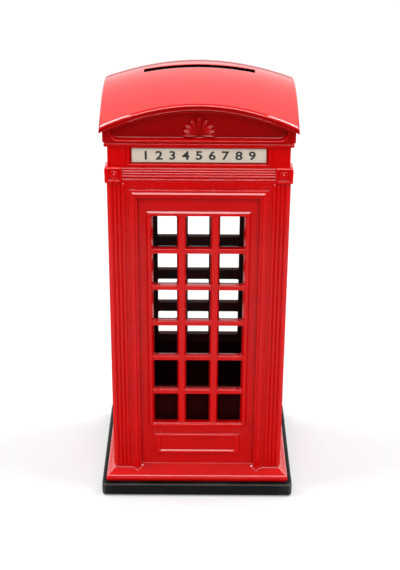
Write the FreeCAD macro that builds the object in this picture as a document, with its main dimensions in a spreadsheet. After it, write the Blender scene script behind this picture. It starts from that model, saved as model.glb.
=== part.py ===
import FreeCAD, Part
import math
import os
import re
import Sketcher

from FreeCAD import Placement, Rotation, Vector

# A die-cast money box in the shape of a small street kiosk, in millimetres.
# +Z is up, -Y is the front, and the origin is the centre of the footprint on the table.
# Four mitred wall castings stand on a plastic base and carry a cast roof. Four steel tie posts
# draw the roof down on the walls, a rubber plug in the base lets the coins out.

SIZES = {
    # whole object
    "body_width": 54.6,          # over the flat faces of the left and right pilasters
    "body_depth": 44.1,          # over the flat faces of the front and back pilasters
    "wall_thickness": 3.8,       # pilaster face to the inside of the wall
    "joint_gap": 0.05,           # left between castings where they meet
    # base and feet
    "foot_projection": 0.4,      # feet below the rim of the base
    "foot_radius": 3.2,
    "foot_inset": 6.2,           # foot centre from the outside of the base
    "base_height": 4.3,
    "base_ledge": 1.5,           # black ledge left round the skirt
    "base_corner": 1.4,
    "base_wall": 1.8,
    "base_plate": 2.0,           # thickness of the base's top plate
    "rim_height": 2.4,           # upstand that keeps the walls in place
    "rim_wall": 1.2,
    "rim_clearance": 0.15,
    # skirt
    "skirt_projection": 2.9,
    "skirt_height": 2.5,         # upright face of the skirt
    "skirt_slope": 1.5,          # sloping top of the skirt
    "skirt_lip": 0.3,            # what the slope keeps at its top
    # pilaster reeds
    "reed_radius": 0.5,
    "reed_height": 0.3,
    "reed_pitch": 1.24,
    "reed_inset": 0.72,          # outermost reed's axis from the corner
    "reed_end_gap": 0.6,
    # door and architrave, measured inwards from the corner of the wall
    "architrave_inset": 6.1,
    "architrave_width": 2.7,
    "architrave_step": 0.35,
    "architrave_crown": 0.75,
    "field_recess": 1.15,        # door field behind the pilaster face
    "frame_inset": 11.2,         # raised frame round the windows
    "frame_width": 1.6,
    "frame_relief": 0.45,
    # windows
    "sill_rise": 20.7,           # top of the base to the lowest sill
    "row_pitch": 12.49,
    "window_height": 10.95,
    "mullion_width": 1.95,
    "window_draft": 0.2,         # taper of an opening's sides, per unit of depth
    # kick panel under the windows
    "kick_rise": 8.9,
    "kick_height": 7.7,
    "kick_inset": 13.2,
    "kick_border": 1.3,
    "kick_side_border": 2.0,
    # head of the wall
    "door_head": 4.7,            # window frame to the underside of the architrave
    "head_gap": 2.7,             # architrave to the corner blocks
    "block_height": 4.8,
    "block_width": 4.3,
    "block_projection": 0.95,
    "boss_radius": 1.35,
    "boss_height": 0.35,
    "course_height": 0.5,
    "course_pitch": 1.0,
    "course_relief": 0.3,
    # sign
    "sign_gap": 1.0,             # corner block to the sign recess
    "sign_height": 4.5,
    "sign_thickness": 0.8,
    "sign_depth": 1.3,           # recess behind the pilaster face
    "sign_inset": 7.25,
    "sign_clearance": 0.3,
    "sign_side_clearance": 0.6,
    "sign_frame": 0.85,
    "sign_frame_relief": 0.3,
    # pediment
    "pediment_gap": 0.6,         # sign recess to the pediment
    "pediment_border": 2.4,
    "pediment_recess": 0.5,
    "tympanum_margin": 0.8,
    "tympanum_recess": 0.9,
    "arch_border": 1.5,
    "crest_radius": 2.3,
    "crest_relief": 0.7,
    # roof
    "roof_rise": 3.8,            # foot of the pediment recess to the corners of the roof
    "roof_overhang": 2.1,
    "roof_plate": 1.4,
    "roof_front_rise": 7.2,
    "roof_side_rise": 7.5,
    "roof_crown": 5.2,
    "roof_rim_depth": 3.0,
    "slot_length": 34.0,
    "slot_width": 3.5,
    # tie posts and screws
    "post_radius": 2.2,
    "post_inset": 1.6,           # clear of the base's rim
    "stud_radius": 1.5,
    "stud_length": 5.0,
    "boss_wall": 1.5,
    "thread_clearance": 0.05,
    "screw_radius": 1.25,
    "screw_length": 8.0,
    "head_radius": 2.5,
    "head_height": 1.4,
    # coin liner and plug
    "liner_height": 32.2,
    "liner_wall": 1.2,
    "liner_clearance": 0.25,
    "plug_radius": 13.0,
    "plug_clearance": 0.1,
    "plug_flange": 2.0,
    "plug_flange_thickness": 1.1,
    "plug_rise": 1.6,            # plug above the base's plate
    "plug_wall": 1.6,
    "tab_length": 11.0,
    "tab_width": 1.6,
    "tab_height": 0.9,
}

ROWS = 6
COLUMNS = 3
REEDS = 4
COURSES = 4
CREST_LEAVES = 5
PASS_THROUGH = 1.0               # how far a cutting tool runs past what it cuts

document = FreeCAD.newDocument("kiosk_money_box")
sheet = document.addObject("Spreadsheet::Sheet", "sizes")
for row_number, (alias, value) in enumerate(SIZES.items(), start=1):
    sheet.set(f"A{row_number}", alias)
    sheet.set(f"B{row_number}", str(value))
    sheet.setAlias(f"B{row_number}", alias)
document.recompute()

# Levels and half sizes that follow from the sizes above.
BASE_TOP = "(foot_projection + base_height)"
PLATE_FOOT = f"({BASE_TOP} - base_plate)"
SKIRT_TOP = f"({BASE_TOP} + skirt_height)"
SLOPE_TOP = f"({SKIRT_TOP} + skirt_slope)"
WINDOW_FOOT = f"({BASE_TOP} + sill_rise)"
WINDOW_TOP = f"({WINDOW_FOOT} + {ROWS - 1} * row_pitch + window_height)"
DOOR_TOP = f"({WINDOW_TOP} + frame_width + door_head)"
ARCHITRAVE_TOP = f"({DOOR_TOP} + architrave_width)"
BLOCK_FOOT = f"({ARCHITRAVE_TOP} + head_gap)"
BLOCK_TOP = f"({BLOCK_FOOT} + block_height)"
SIGN_FOOT = f"({BLOCK_TOP} + sign_gap)"
SIGN_TOP = f"({SIGN_FOOT} + sign_height)"
PEDIMENT_FOOT = f"({SIGN_TOP} + pediment_gap)"
RECESS_FOOT = f"({PEDIMENT_FOOT} + pediment_border)"
ROOF_CORNER = f"({RECESS_FOOT} + roof_rise)"
ROOF_TOP = f"({ROOF_CORNER} + roof_front_rise + roof_crown)"
INNER_X = "(body_width / 2 - wall_thickness)"
INNER_Y = "(body_depth / 2 - wall_thickness)"
BASE_X = "(body_width / 2 + skirt_projection + base_ledge)"
BASE_Y = "(body_depth / 2 + skirt_projection + base_ledge)"
POST_X = f"({INNER_X} - rim_clearance - rim_wall - post_radius - post_inset / 2)"
POST_Y = f"({INNER_Y} - rim_clearance - rim_wall - post_radius - post_inset / 2)"


def formula(text):
    """The expression that FreeCAD reads: every size becomes a cell of the sheet."""
    return re.sub(r"[a-z][a-z_]*", lambda word: "sizes." + word.group(), str(text))


def size(text):
    """The present value of an expression in the sizes, for shapes that Part makes directly."""
    values = {alias: sheet.get(alias) for alias in SIZES}
    terms = re.sub(r"[a-z][a-z_]*", lambda word: repr(float(values[word.group()])), str(text))
    return FreeCAD.Units.Quantity(terms).Value


def bind(part, **expressions):
    """Bind properties of an object; a double underscore stands for a dot."""
    for name, text in expressions.items():
        part.setExpression(name.replace("__", "."), formula(text))
    return part


def place(part, x="0", y="0", z="0"):
    """Bind where an object stands."""
    return bind(part, Placement__Base__x=x, Placement__Base__y=y, Placement__Base__z=z)


def box(name, across, along, up):
    """A box between two expressions on each axis."""
    part = document.addObject("Part::Box", name)
    bind(part, Length=f"{across[1]} - ({across[0]})", Width=f"{along[1]} - ({along[0]})")
    bind(part, Height=f"{up[1]} - ({up[0]})")
    return place(part, across[0], along[0], up[0])


def cylinder(name, radius, height, x="0", y="0", z="0"):
    """An upright cylinder on its foot."""
    part = document.addObject("Part::Cylinder", name)
    bind(part, Radius=radius, Height=height)
    return place(part, x, y, z)


def join(name, parts):
    """Fuse several objects."""
    part = document.addObject("Part::MultiFuse", name)
    part.Shapes = parts
    return part


def cut(name, base, tool):
    """Take one object away from another."""
    part = document.addObject("Part::Cut", name)
    part.Base = base
    part.Tool = tool
    return part


def common(name, base, tool):
    """Keep what two objects share."""
    part = document.addObject("Part::Common", name)
    part.Base = base
    part.Tool = tool
    return part


def group(name, parts):
    """Hold separate solids together as one object."""
    part = document.addObject("Part::Compound", name)
    part.Links = parts
    return part


# ---- roof surface ---------------------------------------------------------------------------

def dome_face():
    """The roof's top: a square-cornered sail of degree two both ways, as one Bezier face."""
    half_x = size("body_width / 2 + roof_overhang")
    half_y = size("body_depth / 2 + roof_overhang")
    corner = size(ROOF_CORNER)
    front = size("roof_front_rise")
    side = size("roof_side_rise")
    crown = size("roof_crown")
    # A quadratic that is 0 at both ends and 1 in the middle has its middle pole at 2.
    surface = Part.BezierSurface()
    surface.increase(2, 2)
    for row in range(3):
        for column in range(3):
            bulge_x = 2 * (column == 1)
            bulge_y = 2 * (row == 1)
            rise = front * bulge_x + side * bulge_y + (crown - side) * bulge_x * bulge_y
            pole = Vector((column - 1) * half_x, (row - 1) * half_y, corner + rise)
            surface.setPole(column + 1, row + 1, pole)
    return surface.toShape()


dome = document.addObject("Part::Feature", "dome_face")
dome.Shape = dome_face()


def under_dome(name, drop, thickness):
    """The solid that hangs from the roof's surface, lowered by drop, down to its thickness."""
    lowered = document.addObject("Part::Feature", name + "_face")
    lowered.Shape = dome.Shape.copy()
    lowered.Placement = Placement(Vector(0, 0, -size(drop)), Rotation())
    part = document.addObject("Part::Extrusion", name)
    part.Base = lowered
    part.DirMode = "Custom"
    part.Dir = Vector(0, 0, -1)
    part.Solid = True
    return bind(part, LengthFwd=thickness)


below_roof = under_dome("below_roof", "roof_plate + joint_gap", ROOF_TOP)
pediment_volume = under_dome("pediment_volume", "roof_plate + arch_border", ROOF_TOP)
tympanum_volume = under_dome("tympanum_volume", "roof_plate + arch_border + tympanum_margin", ROOF_TOP)


# ---- walls ----------------------------------------------------------------------------------

class Wall:
    """One wall casting, drawn facing -Y and turned into its place."""

    def __init__(self, name, half_span, face, turn):
        self.name = name
        self.half_span = half_span
        self.face = face
        self.turn = turn

    def slab(self, name, half_width, low, high, front, back=None):
        """A block centred on the wall, from front to back, both outwards from the pilasters."""
        back = back if back is not None else "-wall_thickness"
        part_name = f"{self.name}_{name}"
        along = (f"-({self.face} + {front})", f"-({self.face} + {back})")
        return box(part_name, (f"-({half_width})", half_width), along, (low, high))

    def slope(self, name, low, high, out_low, out_high):
        """A moulding whose face leans back from its foot to its top."""
        part = document.addObject("Part::Wedge", f"{self.name}_{name}")
        reach = f"{self.half_span} + skirt_projection"
        bind(part, Xmin=f"-({reach})", Xmax=reach, X2min=f"-({reach})", X2max=reach)
        bind(part, Ymin=low, Ymax=high, Zmin=f"{self.face} - wall_thickness")
        bind(part, Z2min=f"{self.face} - wall_thickness")
        bind(part, Zmax=f"{self.face} + {out_low}", Z2max=f"{self.face} + {out_high}")
        part.Placement = Placement(Vector(), Rotation(Vector(1, 0, 0), 90))
        return part

    def reeds(self):
        """The upright reeds of both pilasters."""
        parts = []
        low = f"{SLOPE_TOP} + reed_end_gap"
        height = f"{BLOCK_FOOT} - reed_end_gap - ({low})"
        for side in (-1, 1):
            for number in range(REEDS):
                across = f"{side} * ({self.half_span} - reed_inset - {number} * reed_pitch)"
                along = f"-({self.face} + reed_height - reed_radius)"
                name = f"{self.name}_reed"
                parts.append(cylinder(name, "reed_radius", height, across, along, low))
        return parts

    def architrave(self):
        """The stepped moulding round the door; the door field is cut through its middle."""
        inset = f"{self.half_span} - architrave_inset"
        third = "architrave_width / 3"
        outer = self.slab("architrave_outer", inset, SKIRT_TOP, ARCHITRAVE_TOP, "architrave_step")
        middle = self.slab("architrave_crown", f"{inset} - {third}", SKIRT_TOP,
                           f"{ARCHITRAVE_TOP} - {third}", "architrave_crown")
        return [outer, middle]

    def head(self):
        """Corner blocks, string course and sign frame."""
        parts = []
        reach = f"{self.half_span} + block_projection"
        block_foot = f"-({self.face} + block_projection)"
        boss_along = f"-({self.face} + block_projection + boss_height)"
        middle = f"({BLOCK_FOOT} + {BLOCK_TOP}) / 2"
        inner = f"({self.half_span} - block_width)"
        for side in (-1, 1):
            span = (inner, reach) if side > 0 else (f"-({reach})", f"-{inner}")
            along = (block_foot, f"-({self.face} - wall_thickness)")
            parts.append(box(f"{self.name}_block", span, along, (BLOCK_FOOT, BLOCK_TOP)))
            across = f"{side} * ({self.half_span} - block_width / 2 + block_projection / 4)"
            boss = cylinder(f"{self.name}_boss", "boss_radius", "boss_height + wall_thickness")
            boss.Placement = Placement(Vector(), Rotation(Vector(1, 0, 0), -90))
            parts.append(place(boss, across, boss_along, middle))
        for number in range(COURSES):
            low = f"{BLOCK_FOOT} + course_height + {number} * course_pitch"
            high = f"{low} + course_height"
            parts.append(self.slab("course", inner, low, high, "course_relief"))
        frame = f"{self.half_span} - sign_inset + sign_side_clearance + sign_frame"
        parts.append(self.slab("sign_frame", frame, f"{SIGN_FOOT} - sign_frame",
                               PEDIMENT_FOOT, "sign_frame_relief"))
        return parts

    def windows(self):
        """The tapered openings, in rows and columns between the window frame's sides."""
        group_half = f"({self.half_span} - frame_inset - frame_width)"
        pitch = f"((2 * {group_half} + mullion_width) / {COLUMNS})"
        half = f"(({pitch} - mullion_width) / 2)"
        flare = "window_draft * field_recess"
        depth = f"(wall_thickness - field_recess + {PASS_THROUGH})"
        taper = f"window_draft * {depth}"
        parts = []
        for row in range(ROWS):
            low = f"({WINDOW_FOOT} + {row} * row_pitch)"
            for column in range(COLUMNS):
                centre = f"{column - (COLUMNS - 1) / 2} * {pitch}"
                part = document.addObject("Part::Wedge", f"{self.name}_window")
                bind(part, Xmin=f"{centre} - {half} - {flare}", Xmax=f"{centre} + {half} + {flare}")
                bind(part, X2min=f"{centre} - {half} + {taper}", X2max=f"{centre} + {half} - {taper}")
                bind(part, Zmin=low, Z2min=low, Zmax=f"{low} + window_height")
                bind(part, Z2max=f"{low} + window_height - {taper}", Ymin=f"-{self.face}")
                bind(part, Ymax=f"-({self.face} - wall_thickness - {PASS_THROUGH})")
                parts.append(part)
        return parts

    def crest(self):
        """A fan of round leaves over a half disc, cast in the middle of the tympanum."""
        depth = "crest_relief + tympanum_recess"
        floor = f"-({self.face} + block_projection - pediment_recess - tympanum_recess)"
        parts = []
        places = [(0.0, 0.0, "crest_radius * 0.62")]
        for number in range(CREST_LEAVES):
            angle = math.radians(18 + number * (180 - 36) / (CREST_LEAVES - 1))
            across = round(1.35 * math.cos(angle), 3)
            rise = round(0.95 * math.sin(angle), 3)
            places.append((across, rise, "crest_radius * 0.36"))
        for across, rise, radius in places:
            part = cylinder(f"{self.name}_leaf", radius, depth)
            part.Placement = Placement(Vector(), Rotation(Vector(1, 0, 0), -90))
            along = f"{floor} - crest_relief"
            up = f"{RECESS_FOOT} + crest_radius * {0.95 + rise}"
            parts.append(place(part, f"crest_radius * {across}", along, up))
        return parts

    def mitre(self):
        """The plan that a wall may fill: its ends lean inwards at 45 degrees."""
        part = document.addObject("Part::Wedge", f"{self.name}_mitre")
        outer = f"{self.half_span} + skirt_projection - joint_gap"
        inner = f"{self.half_span} - wall_thickness - joint_gap"
        bind(part, Xmin=f"-({outer})", Xmax=outer, X2min=f"-({inner})", X2max=inner)
        bind(part, Zmin=BASE_TOP, Z2min=BASE_TOP, Zmax=ROOF_TOP, Z2max=ROOF_TOP)
        bind(part, Ymin=f"-({self.face} + skirt_projection)")
        bind(part, Ymax=f"-({self.face} - wall_thickness)")
        return part

    def pediment_cutters(self):
        """The two steps of the arched recess, still square at the top."""
        steps = []
        outer = f"{self.half_span} - pediment_border / 2"
        inner = f"{outer} - tympanum_margin"
        floor = "block_projection - pediment_recess"
        deep = f"{floor} - tympanum_recess"
        first = self.slab("recess", outer, RECESS_FOOT, ROOF_TOP, "skirt_projection", floor)
        foot = f"{RECESS_FOOT} + tympanum_margin"
        second = self.slab("tympanum", inner, foot, ROOF_TOP, "skirt_projection", deep)
        for part, volume in ((first, pediment_volume), (second, tympanum_volume)):
            steps.append((self.turned(part), volume))
        return steps

    def turned(self, part):
        """The same object turned about the upright axis to this wall's side."""
        turned = document.addObject("Part::Compound", part.Name + "_turned")
        turned.Links = [part]
        turned.Placement = Placement(Vector(), Rotation(Vector(0, 0, 1), self.turn))
        return turned

    def build(self):
        """The finished casting."""
        full = f"{self.half_span} + block_projection"
        skirt_reach = f"{self.half_span} + skirt_projection"
        raised = [
            self.slab("core", skirt_reach, BASE_TOP, ROOF_TOP, "0"),
            self.slab("skirt", skirt_reach, BASE_TOP, SKIRT_TOP, "skirt_projection"),
            self.slope("skirt_slope", SKIRT_TOP, SLOPE_TOP, "skirt_projection - skirt_lip", "skirt_lip"),
            self.slab("pediment", full, PEDIMENT_FOOT, ROOF_TOP, "block_projection"),
        ]
        blank = join(f"{self.name}_blank", raised + self.reeds() + self.architrave() + self.head())
        field_half = f"{self.half_span} - architrave_inset - architrave_width"
        field = self.slab("field", field_half, SLOPE_TOP, DOOR_TOP, "skirt_projection", "-field_recess")
        sign_half = f"{self.half_span} - sign_inset + sign_side_clearance"
        recess = self.slab("sign_recess", sign_half, f"{SIGN_FOOT} - sign_clearance",
                           f"{SIGN_TOP} + sign_clearance", "skirt_projection", "-sign_depth")
        carved = cut(f"{self.name}_carved", blank, group(f"{self.name}_recesses", [field, recess]))
        frame_half = f"{self.half_span} - frame_inset"
        kick_half = f"{self.half_span} - kick_inset"
        kick_foot = f"({BASE_TOP} + kick_rise)"
        kick_top = f"({kick_foot} + kick_height)"
        relief = "frame_relief - field_recess"
        frame = self.slab("frame", frame_half, f"{WINDOW_FOOT} - frame_width",
                          f"{WINDOW_TOP} + frame_width", relief)
        kick = self.slab("kick", kick_half, kick_foot, kick_top, relief)
        framed = join(f"{self.name}_framed", [carved, frame, kick])
        light = self.slab("light", f"{frame_half} - frame_width", WINDOW_FOOT, WINDOW_TOP,
                          "skirt_projection", "-field_recess")
        kick_field = self.slab("kick_field", f"{kick_half} - kick_side_border",
                               f"{kick_foot} + kick_border", f"{kick_top} - kick_border",
                               "skirt_projection", "-field_recess")
        openings = join(f"{self.name}_openings", [light, kick_field] + self.windows())
        pierced = cut(f"{self.name}_pierced", framed, openings)
        result = self.turned(common(f"{self.name}_mitred", pierced, self.mitre()))
        for number, (tool, volume) in enumerate(self.pediment_cutters()):
            arched = common(f"{self.name}_arch_{number}", tool, volume)
            result = cut(f"{self.name}_step_{number}", result, arched)
        crest = self.turned(join(f"{self.name}_crest", self.crest()))
        result = join(f"{self.name}_crested", [result, crest])
        result = common(self.name, result, below_roof)
        result.Label = self.name
        return result

    def sign(self):
        """The plate that lies in the recess above the windows."""
        name = self.name.replace("panel", "sign")
        half = f"{self.half_span} - sign_inset"
        plate = self.slab("plate", half, SIGN_FOOT, SIGN_TOP, "sign_thickness - sign_depth", "-sign_depth")
        turned = self.turned(plate)
        turned.Label = name
        return turned


# ---- roof -----------------------------------------------------------------------------------

def ring(name, half_x, half_y, wall, low, high):
    """A rectangular band: outside half sizes, wall thickness and two levels."""
    outer = box(name + "_outer", (f"-({half_x})", half_x), (f"-({half_y})", half_y), (low, high))
    inner_x = f"({half_x} - {wall})"
    inner_y = f"({half_y} - {wall})"
    low = f"{low} - {PASS_THROUGH}"
    high = f"{high} + {PASS_THROUGH}"
    inner = box(name + "_inner", (f"-{inner_x}", inner_x), (f"-{inner_y}", inner_y), (low, high))
    return cut(name, outer, inner)


def four_corners():
    """The side of each corner: left and right, then front and back, with its name."""
    for front_back, depth_name in ((-1, "front"), (1, "back")):
        for left_right, side_name in ((-1, "left"), (1, "right")):
            yield left_right, front_back, f"{depth_name}_{side_name}"


BOSS_FOOT = f"({PEDIMENT_FOOT} - sign_gap)"


def roof_shell():
    """The cast roof: dome, rim that drops inside the walls, bosses for the posts, coin slot."""
    plate = under_dome("roof_plate_solid", "0", "roof_plate")
    hang = under_dome("roof_hang", "roof_plate / 2", ROOF_TOP)
    rim_foot = f"({ROOF_CORNER} - roof_plate - roof_rim_depth)"
    rim = ring("roof_rim", f"{INNER_X} - rim_clearance", f"{INNER_Y} - rim_clearance", "rim_wall",
               rim_foot, ROOF_TOP)
    bosses = []
    bores = []
    for side, depth, name in four_corners():
        across = f"{side} * {POST_X}"
        along = f"{depth} * {POST_Y}"
        bosses.append(cylinder("roof_boss_" + name, "stud_radius + boss_wall",
                               f"{ROOF_TOP} - {BOSS_FOOT}", across, along, BOSS_FOOT))
        bores.append(cylinder("roof_bore_" + name, "stud_radius + thread_clearance",
                              f"stud_length + {PASS_THROUGH}", across, along, BOSS_FOOT))
    hanging = common("roof_hanging", join("roof_inside", [rim] + bosses), hang)
    whole = join("roof_whole", [plate, hanging])
    slot = box("coin_slot", ("-slot_length / 2", "slot_length / 2"), ("-slot_width / 2", "slot_width / 2"),
               (ROOF_CORNER, f"{ROOF_TOP} + {PASS_THROUGH}"))
    roof = cut("roof_shell", whole, group("roof_cuts", bores + [slot]))
    roof.Label = "roof_shell"
    return roof


# ---- base -----------------------------------------------------------------------------------

def plane(body, role):
    """One of a body's own origin planes."""
    return next(feature for feature in body.Origin.OriginFeatures if feature.Role == role)


def flat_sketch(body, name, level="0"):
    """A sketch parallel to the body's XY plane at a level above it."""
    sketch = body.newObject("Sketcher::SketchObject", name)
    sketch.AttachmentSupport = [(plane(body, "XY_Plane"), "")]
    sketch.MapMode = "FlatFace"
    sketch.setExpression("AttachmentOffset.Base.z", formula(level))
    return sketch


def draw_rectangle(sketch, half_x, half_y):
    """A rectangle centred on the sketch's origin, with both sizes bound."""
    corners = [Vector(-1, -1, 0), Vector(1, -1, 0), Vector(1, 1, 0), Vector(-1, 1, 0)]
    first = sketch.GeometryCount
    for number in range(4):
        sketch.addGeometry(Part.LineSegment(corners[number], corners[(number + 1) % 4]), False)
    for number in range(4):
        following = first + (number + 1) % 4
        sketch.addConstraint(Sketcher.Constraint("Coincident", first + number, 2, following, 1))
    for number, direction in enumerate(("Horizontal", "Vertical", "Horizontal", "Vertical")):
        sketch.addConstraint(Sketcher.Constraint(direction, first + number))
    sketch.addConstraint(Sketcher.Constraint("Symmetric", first, 1, first + 2, 1, -1, 1))
    for line, kind, half in ((first, "DistanceX", half_x), (first + 1, "DistanceY", half_y)):
        index = sketch.addConstraint(Sketcher.Constraint(kind, line, 1, line, 2, 2.0))
        sketch.setExpression(f"Constraints[{index}]", formula(f"2 * ({half})"))


def draw_circle(sketch, radius, x="0", y="0"):
    """A circle with its radius and centre bound."""
    circle = sketch.addGeometry(Part.Circle(Vector(size(x), size(y), 0), Vector(0, 0, 1), 1.0), False)
    index = sketch.addConstraint(Sketcher.Constraint("Radius", circle, 1.0))
    sketch.setExpression(f"Constraints[{index}]", formula(radius))
    for kind, value in (("DistanceX", x), ("DistanceY", y)):
        if value != "0":
            index = sketch.addConstraint(Sketcher.Constraint(kind, -1, 1, circle, 3, size(value)))
            sketch.setExpression(f"Constraints[{index}]", formula(value))
        else:
            axis = -2 if kind == "DistanceX" else -1
            sketch.addConstraint(Sketcher.Constraint("PointOnObject", circle, 3, axis))


def take_away(body, sketch, name, depth=None):
    """Pocket a sketch upwards into the body, through everything or to a depth."""
    before = body.Shape.Volume
    pocket = body.newObject("PartDesign::Pocket", name)
    pocket.Profile = sketch
    pocket.Reversed = True
    if depth is None:
        pocket.Type = "ThroughAll"
    else:
        pocket.setExpression("Length", formula(depth))
    document.recompute()
    if body.Shape.Volume >= before:
        raise ValueError(f"{name} cuts nothing")
    return pocket


def base_tray():
    """The plastic base: rounded plate with a skirt, hollow below, and a rim for the walls."""
    body = document.addObject("PartDesign::Body", "base_tray")
    place(body, z="foot_projection")
    outline = flat_sketch(body, "base_outline")
    draw_rectangle(outline, BASE_X, BASE_Y)
    pad = body.newObject("PartDesign::Pad", "base_pad")
    pad.Profile = outline
    pad.setExpression("Length", formula("base_height"))
    document.recompute()
    upright = []
    for number, edge in enumerate(pad.Shape.Edges, start=1):
        ends = [vertex.Point for vertex in edge.Vertexes]
        if abs(ends[0].x - ends[1].x) < 1e-6 and abs(ends[0].y - ends[1].y) < 1e-6:
            upright.append(f"Edge{number}")
    rounding = body.newObject("PartDesign::Fillet", "base_corners")
    rounding.Base = (pad, upright)
    rounding.setExpression("Radius", formula("base_corner"))
    document.recompute()
    hollow = flat_sketch(body, "base_hollow_outline")
    draw_rectangle(hollow, f"{BASE_X} - base_wall", f"{BASE_Y} - base_wall")
    take_away(body, hollow, "base_hollow", "base_height - base_plate")
    holes = flat_sketch(body, "base_holes_outline")
    draw_circle(holes, "plug_radius")
    for side, depth, _ in four_corners():
        draw_circle(holes, "screw_radius + thread_clearance", f"{side} * {POST_X}", f"{depth} * {POST_Y}")
    take_away(body, holes, "base_holes")
    rim_sketch = flat_sketch(body, "base_rim_outline", "base_height")
    rim_x = f"{INNER_X} - rim_clearance"
    rim_y = f"{INNER_Y} - rim_clearance"
    draw_rectangle(rim_sketch, rim_x, rim_y)
    draw_rectangle(rim_sketch, f"{rim_x} - rim_wall", f"{rim_y} - rim_wall")
    rim = body.newObject("PartDesign::Pad", "base_rim")
    rim.Profile = rim_sketch
    rim.setExpression("Length", formula("rim_height"))
    body.Label = "base_tray"
    return body


def coin_liner():
    """The cross-shaped sleeve that keeps the coins behind the lowest windows, clear of the posts."""
    clear = "(rim_clearance + rim_wall + liner_clearance)"
    long_x = f"({INNER_X} - {clear})"
    long_y = f"({INNER_Y} - {clear})"
    short_x = f"({POST_X} - post_radius - liner_clearance)"
    short_y = f"({POST_Y} - post_radius - liner_clearance)"
    top = f"({BASE_TOP} + liner_height)"
    shells = []
    for name, wall, low, high in (("liner_outer", "0", BASE_TOP, top),
                                  ("liner_inner", "liner_wall", f"{BASE_TOP} - {PASS_THROUGH}",
                                   f"{top} + {PASS_THROUGH}")):
        arms = []
        for half_x, half_y in ((long_x, short_y), (short_x, long_y)):
            reach_x = f"({half_x} - {wall})"
            reach_y = f"({half_y} - {wall})"
            arms.append(box(name + "_arm", (f"-{reach_x}", reach_x), (f"-{reach_y}", reach_y), (low, high)))
        shells.append(join(name, arms))
    liner = cut("coin_liner", *shells)
    liner.Label = "coin_liner"
    return liner


def coin_plug():
    """The rubber plug: flange under the plate, hollow spigot through it, tab to pull it by."""
    flange_foot = f"({PLATE_FOOT} - plug_flange_thickness)"
    plug_top = f"({BASE_TOP} + plug_rise)"
    spigot = "(plug_radius - plug_clearance)"
    flange = cylinder("plug_flange", "plug_radius + plug_flange", "plug_flange_thickness", z=flange_foot)
    post = cylinder("plug_spigot", spigot, f"{plug_top} - {flange_foot}", z=flange_foot)
    tab = box("plug_tab", ("-tab_length / 2", "tab_length / 2"), ("-tab_width / 2", "tab_width / 2"),
              (f"{flange_foot} - tab_height", f"{flange_foot} + plug_flange_thickness"))
    cup = cylinder("plug_cup", f"{spigot} - plug_wall", f"{plug_top} - {PLATE_FOOT} + {PASS_THROUGH}",
                   z=f"{PLATE_FOOT} + plug_wall / 2")
    plug = cut("coin_plug", join("plug_body", [flange, post, tab]), cup)
    plug.Label = "coin_plug"
    return plug


def tie_posts():
    """One steel post in each corner: a stud into the roof, a tapped foot for the base screw."""
    posts = []
    for side, depth, name in four_corners():
        across = f"{side} * {POST_X}"
        along = f"{depth} * {POST_Y}"
        stem = cylinder("stem_" + name, "post_radius", f"{BOSS_FOOT} - joint_gap - {BASE_TOP}",
                        across, along, BASE_TOP)
        stud = cylinder("stud_" + name, "stud_radius", f"stud_length + {BOSS_FOOT} - {BASE_TOP}",
                        across, along, BASE_TOP)
        thread = cylinder("thread_" + name, "screw_radius + thread_clearance",
                          "screw_length + base_plate", across, along, BASE_TOP)
        post = cut("tie_post_" + name, join("post_blank_" + name, [stem, stud]), thread)
        post.Label = "tie_post_" + name
        posts.append(post)
    return posts


def base_screws():
    """Four pan-head screws that hold the base to the posts, as one group."""
    screws = []
    for side, depth, name in four_corners():
        across = f"{side} * {POST_X}"
        along = f"{depth} * {POST_Y}"
        head_foot = f"{PLATE_FOOT} - head_height"
        head = cylinder("head_" + name, "head_radius", "head_height", across, along, head_foot)
        shank = cylinder("shank_" + name, "screw_radius", "head_height + base_plate + screw_length",
                         across, along, head_foot)
        recess = cylinder("recess_" + name, "screw_radius", f"head_height / 2 + {PASS_THROUGH}",
                          across, along, f"{head_foot} - {PASS_THROUGH}")
        screws.append(cut("screw_" + name, join("screw_blank_" + name, [head, shank]), recess))
    screw_group = group("base_screws", screws)
    screw_group.Label = "base_screws"
    return screw_group


def feet():
    """A rubber foot in each corner of the base, stuck to the underside of its plate."""
    parts = []
    for side, depth, name in four_corners():
        across = f"{side} * ({BASE_X} - foot_inset)"
        along = f"{depth} * ({BASE_Y} - foot_inset)"
        foot = cylinder("foot_" + name, "foot_radius", PLATE_FOOT, across, along)
        foot.Label = "foot_" + name
        parts.append(foot)
    return parts


# ---- assembly -------------------------------------------------------------------------------

HALF_X = "(body_width / 2)"
HALF_Y = "(body_depth / 2)"
WALLS = (
    Wall("front_panel", HALF_X, HALF_Y, 0),
    Wall("right_panel", HALF_Y, HALF_X, 90),
    Wall("back_panel", HALF_X, HALF_Y, 180),
    Wall("left_panel", HALF_Y, HALF_X, 270),
)
nodes = [wall.build() for wall in WALLS]
nodes += [wall.sign() for wall in WALLS]
nodes += [roof_shell(), base_tray(), coin_liner(), coin_plug()]
nodes += tie_posts()
nodes += [base_screws()]
nodes += feet()
document.recompute()

for feature in document.Objects:
    if {"Invalid", "Error"} & set(feature.State):
        raise ValueError(f"{feature.Name} failed: {feature.State}")

os.makedirs("parts", exist_ok=True)
for node in nodes:
    if node.Shape.isNull() or not node.Shape.isValid():
        raise ValueError(f"{node.Label} has no valid shape")
    node.Shape.exportStep(f"parts/{node.Label}.step")
    limits = node.Shape.BoundBox
    print(f"{node.Label}: {len(node.Shape.Solids)} solid, z {limits.ZMin:.2f} to {limits.ZMax:.2f}")
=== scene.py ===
import logging
import math
from dataclasses import dataclass, field
from enum import Enum
from typing import Sequence

import bmesh
import bpy
import numpy as np
from mathutils import Euler, Matrix, Vector


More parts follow.
